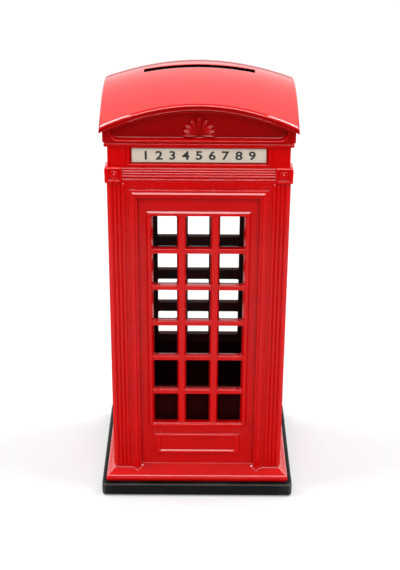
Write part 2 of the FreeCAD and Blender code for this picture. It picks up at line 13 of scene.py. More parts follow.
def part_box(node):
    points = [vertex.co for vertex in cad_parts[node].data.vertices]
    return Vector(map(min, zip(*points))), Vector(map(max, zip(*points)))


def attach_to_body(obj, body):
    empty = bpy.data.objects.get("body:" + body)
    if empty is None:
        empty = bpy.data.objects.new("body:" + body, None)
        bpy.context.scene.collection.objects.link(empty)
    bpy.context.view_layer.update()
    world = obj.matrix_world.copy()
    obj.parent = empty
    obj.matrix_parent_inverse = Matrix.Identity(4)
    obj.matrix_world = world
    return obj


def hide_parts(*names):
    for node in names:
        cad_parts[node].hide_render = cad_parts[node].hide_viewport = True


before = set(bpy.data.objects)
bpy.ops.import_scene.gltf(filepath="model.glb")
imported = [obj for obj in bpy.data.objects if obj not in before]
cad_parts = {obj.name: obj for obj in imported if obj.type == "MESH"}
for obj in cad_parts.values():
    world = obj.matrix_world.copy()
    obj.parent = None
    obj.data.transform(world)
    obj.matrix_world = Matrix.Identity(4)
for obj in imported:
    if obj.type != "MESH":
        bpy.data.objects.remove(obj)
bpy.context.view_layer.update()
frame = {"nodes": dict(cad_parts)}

MM = 0.001  # one millimetre, in metres
HAIR = 1e-4  # places closer than this are the same, in millimetres
BASE_LEDGE = 1.5  # how far the base reaches past the skirt
SKIRT_REACH = 2.9  # how far the skirt reaches past the pilasters
CORNERS = ("front_left", "front_right", "back_left", "back_right")
log = logging.getLogger("kiosk")

Points = np.ndarray
Block = tuple[int, int, int, int]
Curve = tuple[tuple[float, float], ...]


# ---- shader maths ---------------------------------------------------------------------------

class Wire:
    """One output of a shader node, with arithmetic that adds Math nodes."""

    def __init__(self, recipe: "Recipe", socket: bpy.types.NodeSocket) -> None:
        """Keep the recipe and the socket."""
        self.recipe = recipe
        self.socket = socket

    def math(self, operation: str, *terms: "Wire | float") -> "Wire":
        """Add one Math node that works on the terms, in order."""
        inputs = dict(enumerate(terms))
        return self.recipe.wire("ShaderNodeMath", {"operation": operation}, inputs)

    def __add__(self, other: "Wire | float") -> "Wire":
        """Sum."""
        return self.math("ADD", self, other)

    def __radd__(self, other: float) -> "Wire":
        """Sum, with the number first."""
        return self.math("ADD", other, self)

    def __sub__(self, other: "Wire | float") -> "Wire":
        """Difference."""
        return self.math("SUBTRACT", self, other)

    def __rsub__(self, other: float) -> "Wire":
        """Difference, with the number first."""
        return self.math("SUBTRACT", other, self)

    def __mul__(self, other: "Wire | float") -> "Wire":
        """Product."""
        return self.math("MULTIPLY", self, other)

    def __rmul__(self, other: float) -> "Wire":
        """Product, with the number first."""
        return self.math("MULTIPLY", other, self)

    def clamped(self) -> "Wire":
        """The value held between 0 and 1."""
        return self.recipe.wire("ShaderNodeClamp", {}, {"Value": self})

    def stretched(self, low: float, high: float) -> "Wire":
        """0 at low, 1 at high, straight between them and held outside."""
        inputs = {"Value": self, "From Min": low, "From Max": high}
        return self.recipe.wire("ShaderNodeMapRange", {"clamp": True}, inputs)


class Recipe:
    """A material being mixed: its node tree and one way to add a node."""

    def __init__(self, name: str) -> None:
        """Start an empty material with one Principled shader.

        Args:
            name: the material's name.
        """
        self.material = bpy.data.materials.new(name)
        self.material.use_nodes = True
        self.tree = self.material.node_tree
        self.tree.nodes.clear()
        self.shader = self.node("ShaderNodeBsdfPrincipled")
        output = self.node("ShaderNodeOutputMaterial")
        self.tree.links.new(self.shader.outputs[0], output.inputs["Surface"])

    def node(self, kind: str, settings: dict | None = None, inputs: dict | None = None) -> bpy.types.Node:
        """Add any node.

        Args:
            kind: the node's type.
            settings: its properties, set first; "stops" are a ramp's places and colours.
            inputs: values or wires of its sockets, by name or number.

        Returns:
            The node.
        """
        made = self.tree.nodes.new(kind)
        for key, value in (settings or {}).items():
            if key == "stops":
                for element, (place, colour) in zip(made.color_ramp.elements, value):
                    element.position = place
                    element.color = (*colour, 1.0)
            else:
                setattr(made, key, value)
        self.feed(made, inputs or {})
        return made

    def feed(self, node: bpy.types.Node, inputs: dict) -> None:
        """Set or link sockets of a node.

        Args:
            node: the node.
            inputs: values or wires, by socket name or number.
        """
        for key, value in inputs.items():
            socket = node.inputs[key]
            if isinstance(value, Wire):
                self.tree.links.new(value.socket, socket)
            else:
                socket.default_value = value

    def wire(self, kind: str, settings: dict, inputs: dict, output: str | int = 0) -> Wire:
        """Add a node, as node() does, and take one of its outputs."""
        return Wire(self, self.node(kind, settings, inputs).outputs[output])

    def place(self) -> Wire:
        """Object coordinates, in metres."""
        return self.wire("ShaderNodeTexCoord", {}, {}, "Object")

    def attribute(self, name: str) -> Wire:
        """A number kept on the mesh's points."""
        return self.wire("ShaderNodeAttribute", {"attribute_name": name}, {}, "Fac")

    def noise(self, size: float, detail: float = 2.0, roughness: float = 0.5) -> Wire:
        """Cloudy noise about 0.5, with clouds of this size in metres."""
        inputs = {"Vector": self.place(), "Scale": 1.0 / size, "Detail": detail, "Roughness": roughness}
        return self.wire("ShaderNodeTexNoise", {}, inputs, "Fac")

    def blend(self, factor: "Wire | float", first: "Wire | tuple", second: "Wire | tuple") -> Wire:
        """Mix two colours.

        Args:
            factor: share of the second colour.
            first: colour or wire.
            second: colour or wire.

        Returns:
            The mixed colour.
        """
        node = self.node("ShaderNodeMix", {"data_type": "RGBA"})
        shades = {6: first, 7: second}
        inputs = {key: value if isinstance(value, Wire) else (*value, 1.0) for key, value in shades.items()}
        self.feed(node, {0: factor, **inputs})
        return Wire(self, node.outputs[2])

    def relief(self, height: Wire, depth: float, under: Wire | None = None) -> Wire:
        """A bump in the surface.

        Args:
            height: pattern from 0 to 1.
            depth: how high 1 stands, in metres.
            under: normal of a coarser bump below this one.

        Returns:
            The bent normal.
        """
        inputs = {"Height": height, "Distance": depth, "Strength": 1.0}
        if under is not None:
            inputs["Normal"] = under
        return self.wire("ShaderNodeBump", {}, inputs, "Normal")

    def height(self) -> Wire:
        """Height over the ground, in metres."""
        return self.wire("ShaderNodeSeparateXYZ", {}, {0: self.place()}, "Z")

    def upward(self) -> Wire:
        """How much the surface faces up: 1 on level ground, 0 on a wall."""
        normal = self.wire("ShaderNodeNewGeometry", {}, {}, "Normal")
        return self.wire("ShaderNodeSeparateXYZ", {}, {0: normal}, "Z")


# ---- finishes -------------------------------------------------------------------------------

@dataclass(frozen=True)
class Enamel:
    """Thick gloss enamel over a zinc casting: pools in corners, runs thin on edges. Its colour also carries
    painted shade, darker in corners and creases and on walls just under the roof's overhang.
    """

    name: str = "red_gloss_enamel"
    full: tuple[float, float, float] = (0.66, 0.0010, 0.0016)
    # darker enamel where paint collects; also the painted shade in corners and creases
    pooled_and_crease_shade: tuple[float, float, float] = (0.36, 0.0002, 0.0006)
    # painted shade: the darker enamel colour given to walls under the roof's overhang
    deep: tuple[float, float, float] = (0.25, 0.0001, 0.0002)
    thin: tuple[float, float, float] = (0.86, 0.012, 0.014)
    peel: float = 4.0e-6
    swell: float = 1.1e-5
    # painted shade: heights in metres over which that darker colour fades in under the roof
    eaves_shade: tuple[float, float] = (0.1205, 0.1245)
    polish: tuple[float, float] = (0.112, 0.086)
    specular: float = 0.03
    coat: float = 0.85
    coat_roughness: float = 0.06
    coat_ior: float = 1.9

    def material(self) -> bpy.types.Material:
        """Mix the finish.

        Returns:
            The material.
        """
        mix = Recipe(self.name)
        edge = mix.attribute("edge")
        cloud = mix.noise(0.011, 3.0)
        level, height = mix.upward(), mix.height()
        # painted shade: sideways-facing enamel just under the roof is darkened as if shaded by the overhang
        eaves_shade = height.stretched(*self.eaves_shade) * level.stretched(0.45, 0.2)
        coat = mix.blend(cloud.stretched(0.35, 0.7) * 0.25, self.full, self.pooled_and_crease_shade)
        coat = mix.blend(eaves_shade * 0.8, coat, self.deep)
        # partly paint collecting in hollows, partly painted shade: corners and creases (negative edge tone)
        # are darkened
        coat = mix.blend((edge * -2.4).clamped() * 0.85, coat, self.pooled_and_crease_shade)
        coat = mix.blend((edge * 1.9 - 0.12 + 0.25 * cloud).clamped() * 0.55, coat, self.thin)
        swell = mix.relief(mix.noise(0.0052, 1.0), self.swell)
        normal = mix.relief(mix.noise(0.0008, 2.0), self.peel, swell)
        rough = 0.10 + 0.10 * mix.noise(0.02, 4.0, 0.6) + 0.10 * mix.noise(0.0016, 3.0).stretched(0.62, 0.8)
        polished = height.stretched(*self.polish) * height.stretched(0.0, 0.06) * 0.13
        mix.feed(mix.shader, {
            "Base Color": coat, "Roughness": rough, "Normal": normal, "Specular IOR Level": self.specular,
            "Coat Weight": level.stretched(0.08, 0.5) * self.coat + polished,
            "Coat Roughness": self.coat_roughness, "Coat IOR": self.coat_ior,
        })
        return mix.material


@dataclass(frozen=True)
class InsideShade:
    """The inside of a casting, coloured dark as painted shade, since little light gets in through the
    openings; patches of unpainted metal show through.
    """

    name: str = "painted_inside_shade"
    shade: tuple[float, float, float] = (0.055, 0.0016, 0.002)
    bare_in_shade: tuple[float, float, float] = (0.022, 0.010, 0.010)

    def material(self) -> bpy.types.Material:
        """Mix the finish.

        Returns:
            The material.
        """
        mix = Recipe(self.name)
        cloud = mix.noise(0.006, 5.0, 0.65)
        grain = mix.relief(mix.noise(0.0005, 3.0), 1.4e-5)
        mix.feed(mix.shader, {
            "Base Color": mix.blend(cloud.stretched(0.4, 0.62), self.shade, self.bare_in_shade),
            "Roughness": 0.55 + 0.2 * cloud, "Normal": grain, "Specular IOR Level": 0.2,
        })
        return mix.material


@dataclass(frozen=True)
class Lacquer:
    """Cream lacquer on a small plate, a little toned along its rim."""

    name: str = "cream_lacquer"
    shade: tuple[float, float, float] = (0.70, 0.62, 0.51)
    toned: tuple[float, float, float] = (0.50, 0.42, 0.32)

    def material(self) -> bpy.types.Material:
        """Mix the finish.

        Returns:
            The material.
        """
        mix = Recipe(self.name)
        cloud = mix.noise(0.004, 4.0, 0.6)
        rim = (mix.attribute("edge") * 1.4).clamped()
        speck = mix.noise(0.00035, 2.0).stretched(0.70, 0.78)
        shade = mix.blend(cloud.stretched(0.45, 0.75) * 0.35 + rim * 0.5, self.shade, self.toned)
        mix.feed(mix.shader, {
            "Base Color": mix.blend(speck * 0.5, shade, self.toned),
            "Roughness": 0.32 + 0.16 * cloud, "Normal": mix.relief(mix.noise(0.0006, 2.0), 3.0e-6),
            "Specular IOR Level": 0.4,
        })
        return mix.material


@dataclass(frozen=True)
class Moulded:
    """Moulded plastic or rubber with a spark-eroded grain and rubbed edges; on the base, the lighter edge
    colour is turned up into a painted highlight along its edges.
    """

    name: str
    shade: tuple[float, float, float]
    worn_and_highlight: tuple[float, float, float]
    roughness: float
    grain: float = 0.0006
    depth: float = 9.0e-6
    specular: float = 0.5
    shine: float = 0.0
    shine_roughness: float = 0.16
    rub_and_highlight: float = 2.2

    def material(self) -> bpy.types.Material:
        """Mix the finish.

        Returns:
            The material.
        """
        mix = Recipe(self.name)
        cloud = mix.noise(0.009, 4.0, 0.6)
        fine = mix.noise(self.grain, 3.0, 0.6)
        # lighter on standing-out edges from rubbing; on the base, with its strong gain, a painted highlight
        wear_and_highlight = (mix.attribute("edge") * self.rub_and_highlight + 0.35 * cloud - 0.3).clamped()
        dust = mix.upward().stretched(0.5, 1.0) * cloud.stretched(0.4, 0.8) * 0.2
        mix.feed(mix.shader, {
            "Base Color": mix.blend((wear_and_highlight + dust).clamped(), self.shade, self.worn_and_highlight),
            "Roughness": self.roughness + 0.12 * cloud + 0.08 * fine,
            "Normal": mix.relief(fine, self.depth), "Specular IOR Level": self.specular,
            "Coat Weight": wear_and_highlight * self.shine, "Coat Roughness": self.shine_roughness,
        })
        return mix.material


@dataclass(frozen=True)
class Plated:
    """Zinc-plated steel with fine turning marks round the upright axis."""

    name: str = "zinc_plate"
    shade: tuple[float, float, float] = (0.56, 0.57, 0.58)
    dull: tuple[float, float, float] = (0.34, 0.33, 0.30)

    def material(self) -> bpy.types.Material:
        """Mix the finish.

        Returns:
            The material.
        """
        mix = Recipe(self.name)
        cloud = mix.noise(0.003, 4.0, 0.65)
        drawn = mix.wire("ShaderNodeMapping", {}, {"Vector": mix.place(), "Scale": (400.0, 400.0, 9000.0)})
        lines = mix.wire("ShaderNodeTexNoise", {}, {"Vector": drawn, "Scale": 1.0, "Detail": 2.0}, "Fac")
        mix.feed(mix.shader, {
            "Base Color": mix.blend(cloud.stretched(0.45, 0.75), self.shade, self.dull),
            "Metallic": 1.0, "Roughness": 0.24 + 0.22 * cloud + 0.08 * lines,
            "Normal": mix.relief(lines, 2.5e-6),
        })
        return mix.material


@dataclass(frozen=True)
class Ink:
    """Screen-printed black ink."""

    name: str = "printed_ink"
    shade: tuple[float, float, float] = (0.008, 0.008, 0.009)
    faint: tuple[float, float, float] = (0.03, 0.029, 0.028)

    def material(self) -> bpy.types.Material:
        """Mix the finish.

        Returns:
            The material.
        """
        mix = Recipe(self.name)
        cloud = mix.noise(0.0009, 3.0)
        mix.feed(mix.shader, {
            "Base Color": mix.blend(cloud.stretched(0.5, 0.8) * 0.6, self.shade, self.faint),
            "Roughness": 0.4 + 0.15 * cloud, "Normal": mix.relief(cloud, 2.0e-6),
        })
        return mix.material


@dataclass(frozen=True)
class Paper:
    """The pale sheet that everything stands on."""

    name: str = "pale_sheet"
    shade: tuple[float, float, float] = (0.57, 0.58, 0.58)
    cloudy: tuple[float, float, float] = (0.56, 0.57, 0.57)
    glow: float = 0.26

    def material(self) -> bpy.types.Material:
        """Mix the finish.

        Returns:
            The material.
        """
        mix = Recipe(self.name)
        cloud = mix.noise(0.08, 3.0)
        mix.feed(mix.shader, {
            "Base Color": mix.blend(cloud * 0.5, self.shade, self.cloudy),
            "Roughness": 0.8, "Specular IOR Level": 0.1, "Emission Color": (1.0, 1.0, 1.0, 1.0),
            "Emission Strength": self.glow,
        })
        return mix.material


class Finish(Enum):
    """The finishes of the piece, by what they are on."""

    BODY = Enamel()
    # painted shade: a dark finish on inner faces, deep in the window reveals and inside the coin slot
    INSIDE = InsideShade()
    SIGN = Lacquer()
    INK = Ink()
    # painted highlight: the base's high edge gain and gloss paint a light line along its top edge
    BASE = Moulded("black_base_plastic", (0.0030, 0.0034, 0.0030), (0.055, 0.057, 0.055), 0.30, specular=0.10,
                    shine=0.8, rub_and_highlight=7.0)
    LINER = Moulded("oxblood_liner_plastic", (0.020, 0.0008, 0.0008), (0.034, 0.0018, 0.0018), 0.75,
                    specular=0.04)
    RUBBER = Moulded("black_rubber", (0.015, 0.015, 0.015), (0.045, 0.044, 0.042), 0.62, 0.0004, 1.4e-5, 0.3)
    STEEL = Plated()
    FLOOR = Paper()


class Paintbox:
    """Makes each finish once and hands it out."""

    def __init__(self) -> None:
        """Start with nothing mixed."""
        self.mixed: dict[Finish, bpy.types.Material] = {}

    def take(self, finish: Finish) -> bpy.types.Material:
        """The material of a finish, mixed at its first use.

        Args:
            finish: which finish.

        Returns:
            Its material.
        """
        if finish not in self.mixed:
            self.mixed[finish] = finish.value.material()
        return self.mixed[finish]


PAINT = Paintbox()


# ---- meshes ---------------------------------------------------------------------------------

def edge_tone(mesh: bpy.types.Mesh) -> None:
    """Keep on each point how sharply it stands out (positive) or lies in a corner (negative).

    Args:
        mesh: the mesh that gets the "edge" attribute.
    """
    count = len(mesh.vertices)
    places = np.empty(count * 3)
    mesh.vertices.foreach_get("co", places)
    places = places.reshape(-1, 3)
    normals = np.array([value.vector for value in mesh.vertex_normals])
    ends = np.empty(len(mesh.edges) * 2, dtype=np.int64)
    mesh.edges.foreach_get("vertices", ends)
    first, second = ends.reshape(-1, 2).T
    span = places[second] - places[first]
    length = np.maximum(np.linalg.norm(span, axis=1), 1e-7)[:, None]
    total = np.zeros(count)
    share = np.full(count, 1e-9)
    for here, way in ((first, -span / length), (second, span / length)):
        np.add.at(total, here, (way * normals[here]).sum(axis=1))
        np.add.at(share, here, 1.0)
    tone = mesh.attributes.new("edge", "FLOAT", "POINT")
    tone.data.foreach_set("value", np.clip(total / share, -1.0, 1.0).astype(np.float32))


def closed_object(name: str, points: Points, faces: Sequence[Sequence[int]], finishes: Sequence[Finish],
                  dressed: Sequence[int] | None = None, sharp: float = 70.0) -> bpy.types.Object:
    """Make a smooth-shaded object whose large faces keep their flatness.

    Args:
        name: the object's name.
        points: places in millimetres.
        faces: corners of each face.
        finishes: finishes of the material slots.
        dressed: slot of each face, or None for the first.
        sharp: edges that turn more than this many degrees stay sharp.

    Returns:
        The object, at the origin.
    """
    mesh = bpy.data.meshes.new(name)
    mesh.from_pydata((np.asarray(points) * MM).tolist(), [], faces)
    for finish in finishes:
        mesh.materials.append(PAINT.take(finish))
    if dressed is not None:
        mesh.polygons.foreach_set("material_index", np.asarray(dressed, dtype=np.int32))
    work = bmesh.new()
    work.from_mesh(mesh)
    bmesh.ops.recalc_face_normals(work, faces=work.faces)
    for edge in work.edges:
        edge.smooth = len(edge.link_faces) == 2 and edge.calc_face_angle() < math.radians(sharp)
    for face in work.faces:
        face.smooth = True
    work.to_mesh(mesh)
    work.free()
    edge_tone(mesh)
    made = linked(name, mesh)
    weigh = made.modifiers.new("flats", "WEIGHTED_NORMAL")
    weigh.keep_sharp = True
    return settle(made)


def linked(name: str, data: bpy.types.ID) -> bpy.types.Object:
    """Stand new data in the scene as an object.

    Args:
        name: the object's name.
        data: its mesh, light, camera or text.

    Returns:
        The object.
    """
    made = bpy.data.objects.new(name, data)
    bpy.context.scene.collection.objects.link(made)
    return made


def settle(made: bpy.types.Object) -> bpy.types.Object:
    """Turn an object's modifiers into its own mesh.

    Args:
        made: the object.

    Returns:
        The same object, with no modifiers.
    """
    bpy.context.view_layer.update()
    seen = made.evaluated_get(bpy.context.evaluated_depsgraph_get())
    fresh = bpy.data.meshes.new_from_object(seen)
    made.modifiers.clear()
    made.data = fresh
    return made


def block_loop(block: Block) -> list[tuple[int, int]]:
    """Grid places round a block of cells, in order.

    Args:
        block: first and last index on each axis.

    Returns:
        Pairs of indices, each once.
    """
    i0, i1, j0, j1 = block
    path = [(i, j0) for i in range(i0, i1)] + [(i1, j) for j in range(j0, j1)]
    return path + [(i, j1) for i in range(i1, i0, -1)] + [(i0, j) for j in range(j1, j0, -1)]


@dataclass
class TwinSkin:
    """A closed shell between two matching grids of points, with holes through both.

    The strips of a hole take the first finish up to painted_rings, and the last one from there on.
    """

    front: Points
    back: Points
    holes: list[Block] = field(default_factory=list)
    hole_rings: list[list[Points]] = field(default_factory=list)
    border_rings: list[Points] = field(default_factory=list)
    painted_rings: int | None = None

    def build(self, name: str, finishes: Sequence[Finish]) -> bpy.types.Object:
        """Make the object: the first finish outside, the last on the back skin.

        Args:
            name: the object's name.
            finishes: one or two finishes.

        Returns:
            The object.
        """
        across, up = self.front.shape[:2]
        number = np.arange(across * up).reshape(across, up)
        solid = np.ones((across - 1, up - 1), dtype=bool)
        for i0, i1, j0, j1 in self.holes:
            solid[i0:i1, j0:j1] = False
        corners = (number[:-1, :-1], number[1:, :-1], number[1:, 1:], number[:-1, 1:])
        quads = np.stack([corner[solid] for corner in corners], axis=1)
        points = [self.front.reshape(-1, 3), self.back.reshape(-1, 3)]
        faces = [quads, quads[:, ::-1] + across * up]
        dressed = [np.zeros(len(quads)), np.full(len(quads), len(finishes) - 1)]
        used = 2 * across * up
        whole = (0, across - 1, 0, up - 1)
        for block, rings in [(whole, self.border_rings), *zip(self.holes, self.hole_rings)]:
            painted = None if block == whole else self.painted_rings
            loop = np.array([number[place] for place in block_loop(block)])
            chain = [loop]
            for ring in rings:
                chain.append(np.arange(len(loop)) + used)
                points.append(ring)
                used += len(loop)
            chain.append(loop + across * up)
            for level, (one, two) in enumerate(zip(chain[:-1], chain[1:])):
                strip = np.stack([one, two, np.roll(two, -1), np.roll(one, -1)], axis=1)
                faces.append(strip)
                # deeper strips take the last finish, which in the walls and roof is the painted inside shade
                bare_in_shade = painted is not None and level >= painted
                dressed.append(np.full(len(strip), len(finishes) - 1 if bare_in_shade else 0))
        every = np.concatenate(faces)
        kept, places = np.unique(every, return_inverse=True)
        return closed_object(name, np.concatenate(points)[kept], places.reshape(-1, 4).tolist(), finishes,
                             np.concatenate(dressed))


def ring_loft(name: str, rings: Sequence[Points], finishes: Sequence[Finish], looped: bool = False,
              extra: Sequence[tuple[Points, list]] = ()) -> bpy.types.Object:
    """Skin a row of rings with the same number of points, capped or looped, with any extra closed parts."""
    points, faces = merged(loft_parts(rings, looped), *extra)
    return closed_object(name, points, faces, finishes)


def loft_parts(rings: Sequence[Points], looped: bool = False) -> tuple[Points, list]:
    """The points and faces of a loft.

    Args:
        rings: the rings, in order.
        looped: join the last ring to the first instead of capping both ends.

    Returns:
        Points and faces.
    """
    count = len(rings[0])
    faces: list[list[int]] = []
    last = len(rings) if looped else len(rings) - 1
    for level in range(last):
        low = level * count
        high = (level + 1) % len(rings) * count
        for step in range(count):
            after = (step + 1) % count
            faces.append([low + step, low + after, high + after, high + step])
    if not looped:
        faces.append(list(range(count))[::-1])
        faces.append([(len(rings) - 1) * count + step for step in range(count)])
    return np.concatenate(rings), faces


def rounded_rectangle(half_x: float, half_y: float, radius: float, up: float, corner: int = 6,
                      side: int = 8) -> Points:
    """A level ring in the shape of a rectangle with round corners.

    Args:
        half_x: half its width.
        half_y: half its depth.
        radius: corner radius.
        up: its height.
        corner: steps round one corner.
        side: steps along one side.

    Returns:
        Its points, the same number whatever the sizes.
    """
    ring = []
    for quarter, (sx, sy) in enumerate(((1, 1), (-1, 1), (-1, -1), (1, -1))):
        centre = np.array([sx * (half_x - radius), sy * (half_y - radius)])
        arc = []
        for step in range(corner + 1):
            angle = math.pi / 2 * (quarter + step / corner)
            arc.append(centre + radius * np.array([math.cos(angle), math.sin(angle)]))
        ring += arc
        nx, ny = ((-1, 1), (-1, -1), (1, -1), (1, 1))[quarter]
        following = np.array([nx * (half_x - radius), ny * (half_y - radius)])
        out = math.pi / 2 * (quarter + 1)
        start = arc[-1]
        end = following + radius * np.array([math.cos(out), math.sin(out)])
        ring += [start + (end - start) * step / side for step in range(1, side)]
    flat = np.array(ring)
    return np.column_stack([flat, np.full(len(flat), up)])


def circle_like(ring: Points, radius: float, up: float) -> Points:
    """A level circle with one point in the direction of each point of another ring."""
    angle = np.arctan2(ring[:, 1], ring[:, 0])
    return np.column_stack([radius * np.cos(angle), radius * np.sin(angle), np.full(len(ring), up)])


def turned_parts(profile: Curve, centre: tuple[float, float], steps: int = 48) -> tuple[Points, list]:
    """A turned solid with an upright axis.

    Args:
        profile: radius and height of each ring, from one end to the other.
        centre: place of the axis.
        steps: points round each ring.

    Returns:
        Points and faces.
    """
    angle = np.linspace(0.0, 2 * math.pi, steps, endpoint=False)
    rings = []
    for radius, up in profile:
        x = centre[0] + radius * np.cos(angle)
        y = centre[1] + radius * np.sin(angle)
        rings.append(np.column_stack([x, y, np.full(steps, up)]))
    return loft_parts(rings)


def turned_object(name: str, profile: Curve, finish: Finish, steps: int = 48) -> bpy.types.Object:
    """Make a turned solid round the origin, from the radius and height of each ring."""
    points, faces = turned_parts(profile, (0.0, 0.0), steps)
    return closed_object(name, points, faces, (finish,))


def merged(first: tuple[Points, list], *others: tuple[Points, list]) -> tuple[Points, list]:
    """Several closed parts as one.

    Args:
        first: points and faces of the first part.
        others: points and faces of the other parts.

    Returns:
        Points and faces of them all.
    """
    points, faces = first
    for more_points, more_faces in others:
        faces = faces + [[corner + len(points) for corner in face] for face in more_faces]
        points = np.concatenate([points, more_points])
    return points, faces


class Ruler:
    """Collects the places of grid lines: firm ones stay, loose ones give way to them."""

    def __init__(self) -> None:
        """Start with no lines."""
        self.firm: set[float] = set()
        self.loose: set[float] = set()

    def at(self, *places: float) -> None:
        """Ask for lines that have to be exactly there."""
        self.firm.update(round(place, 4) for place in places)

    def curve(self, start: float, way: float, curve: Curve) -> None:
        """Ask for a line at each point of a moulding's curve, from start upwards (1) or downwards (-1)."""
        self.loose.update(round(start + way * distance, 4) for distance, _ in curve)

    def lines(self, low: float, high: float, gap: float, widest: float) -> np.ndarray:
        """The places of all lines.

        Args:
            low: first line.
            high: last line.
            gap: loose lines closer than this to a kept one are dropped.
            widest: wider cells are divided.

        Returns:
            Sorted places.
        """
        kept = sorted({round(low, 4), round(high, 4)} | {v for v in self.firm if low < v < high})
        for value in sorted(v for v in self.loose if low < v < high):
            if min(abs(value - other) for other in kept) >= gap:
                kept.append(value)
        kept.sort()
        full = [kept[0]]
        for value in kept[1:]:
            parts = max(1, math.ceil((value - full[-1]) / widest - 1e-6))
            full += list(np.linspace(full[-1], value, parts + 1)[1:])
        return np.array(full)


def along(curve: Curve, distance: Points) -> Points:
    """Height of a moulding's curve at each distance."""
    places, heights = zip(*curve)
    return np.interp(distance, places, heights)


def nearest(lines: Points, place: float) -> int:
    """Index of the grid line nearest to a place."""
    return int(np.argmin(np.abs(lines - place)))


def rounded_outline(x: Points, y: Points, box: Sequence[float], radius: float,
                    spread: float) -> tuple[Points, Points]:
    """Move points of a rectangle's square outline to its rounded one.

    Args:
        x: places on the first axis.
        y: places on the second axis.
        box: low and high side on the first axis, then on the second.
        radius: corner radius.
        spread: how far outside the outline the new points lie.

    Returns:
        The new places on both axes.
    """
    left, right, low, high = box
    way_x = np.where(x < (left + right) / 2, -1.0, 1.0)
    way_y = np.where(y < (low + high) / 2, -1.0, 1.0)
    aside = np.minimum(x - left, right - x)
    rise = np.minimum(y - low, high - y)
    cornered = (aside < radius + HAIR) & (rise < radius + HAIR)
    angle = math.pi / 4 * (1 + (aside - rise) / radius)
    hub_x = np.where(way_x < 0, left + radius, right - radius)
    hub_y = np.where(way_y < 0, low + radius, high - radius)
    arc_x = hub_x + way_x * (radius + spread) * np.cos(angle)
    arc_y = hub_y + way_y * (radius + spread) * np.sin(angle)
    flat_x = x + np.where(aside < HAIR, way_x * spread, 0.0)
    flat_y = y + np.where(rise < HAIR, way_y * spread, 0.0)
    return np.where(cornered, arc_x, flat_x), np.where(cornered, arc_y, flat_y)


def plan_middle(node: str) -> tuple[float, float]:
    """Middle of a CAD node's box seen from above, in millimetres."""
    low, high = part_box(node)
    return (low.x + high.x) / 2 / MM, (low.y + high.y) / 2 / MM


# ---- roof line ------------------------------------------------------------------------------

@dataclass(frozen=True)
class Dome:
    """The roof's upper surface: a square-cornered sail."""

    half_x: float = 29.4
    half_y: float = 24.15
    corner: float = 127.6
    front_rise: float = 7.2
    side_rise: float = 7.5
    crown: float = 5.2
    plate: float = 1.4
    gap: float = 0.05

    def top(self, x: Points, y: Points) -> Points:
        """Height of the roof over a place.

        Args:
            x: places across.
            y: places from front to back.

        Returns:
            Heights, in millimetres.
        """
        over_x = 1 - (x / self.half_x) ** 2
        over_y = 1 - (y / self.half_y) ** 2
        rise = self.front_rise * over_x + self.side_rise * over_y
        return self.corner + rise + (self.crown - self.side_rise) * over_x * over_y

    def under(self, x: Points, y: Points) -> Points:
        """Height of what stands under the roof's plate."""
        return self.top(x, y) - self.plate - self.gap


DOME = Dome()


# ---- walls ----------------------------------------------------------------------------------

@dataclass(frozen=True)
class Mouldings:
    """Curves of the mouldings: distance across, then height over the pilaster face."""

    architrave: Curve = (
        (0.0, -1.15), (0.05, -0.95), (0.11, 0.08), (0.17, 0.28), (0.28, 0.36), (0.42, 0.35), (0.58, 0.27),
        (0.78, 0.24), (0.98, 0.42), (1.16, 0.68), (1.30, 0.78), (1.44, 0.72), (1.60, 0.61), (1.76, 0.46),
        (1.94, 0.32), (2.20, 0.30), (2.50, 0.32), (2.61, 0.27), (2.69, 0.10), (2.76, 0.0))
    frame: Curve = (
        (0.0, -1.15), (0.08, -1.08), (0.20, -0.80), (0.32, -0.69), (0.46, -0.66), (0.95, -0.66),
        (1.08, -0.70), (1.30, -0.88), (1.50, -1.06), (1.62, -1.13), (1.74, -1.15))
    kick_outer: Curve = ((0.0, 0.0), (0.08, 0.06), (0.20, 0.30), (0.34, 0.44), (0.50, 0.47), (0.9, 0.47))
    kick_inner: Curve = ((-0.42, 1.0), (-0.30, 0.92), (-0.15, 0.60), (0.0, 0.2), (0.12, 0.04), (0.24, 0.0))
    skirt: Curve = (
        (4.7, 2.36), (4.84, 2.54), (5.05, 2.70), (5.40, 2.83), (5.80, 2.90), (6.20, 2.90), (6.58, 2.83),
        (6.90, 2.67), (7.12, 2.46), (7.26, 2.24), (7.35, 2.07), (7.46, 1.93), (7.70, 1.61), (8.10, 1.07),
        (8.50, 0.52), (8.70, 0.24), (8.86, 0.0), (9.20, -0.47), (9.56, -0.97), (9.64, -1.11), (9.70, -1.15))
    course: Curve = ((-0.04, 0.0), (0.04, 0.17), (0.14, 0.28), (0.25, 0.31), (0.36, 0.28), (0.46, 0.17),
                     (0.54, 0.0))
    block: Curve = ((-0.02, 0.0), (0.05, 0.42), (0.14, 0.76), (0.26, 0.92), (0.40, 0.95))
    rosette_bed: Curve = ((0.0, 0.0), (0.10, 0.10), (0.22, 0.30), (0.34, 0.34))
    sign_frame: Curve = ((-0.02, 0.0), (0.08, 0.18), (0.20, 0.28), (0.34, 0.30))
    sign_bed: Curve = ((-0.20, 0.0), (-0.10, 0.05), (0.0, 0.30), (0.06, 1.2), (0.14, 1.56), (0.24, 1.60))
    pediment: Curve = (
        (0.0, 0.0), (0.06, 0.45), (0.14, 0.74), (0.26, 0.90), (0.42, 0.95), (1.02, 0.95), (1.14, 0.90),
        (1.26, 0.72), (1.40, 0.66), (1.50, 0.80), (1.58, 1.10), (1.68, 1.24), (1.82, 1.28), (2.10, 1.28))
    arch: Curve = (
        (-0.56, 0.0), (-0.44, 0.07), (-0.28, 0.16), (-0.14, 0.16), (-0.04, 0.06), (0.04, -0.12),
        (0.10, -0.46), (0.17, -0.96), (0.26, -1.44), (0.38, -1.66), (0.54, -1.71))


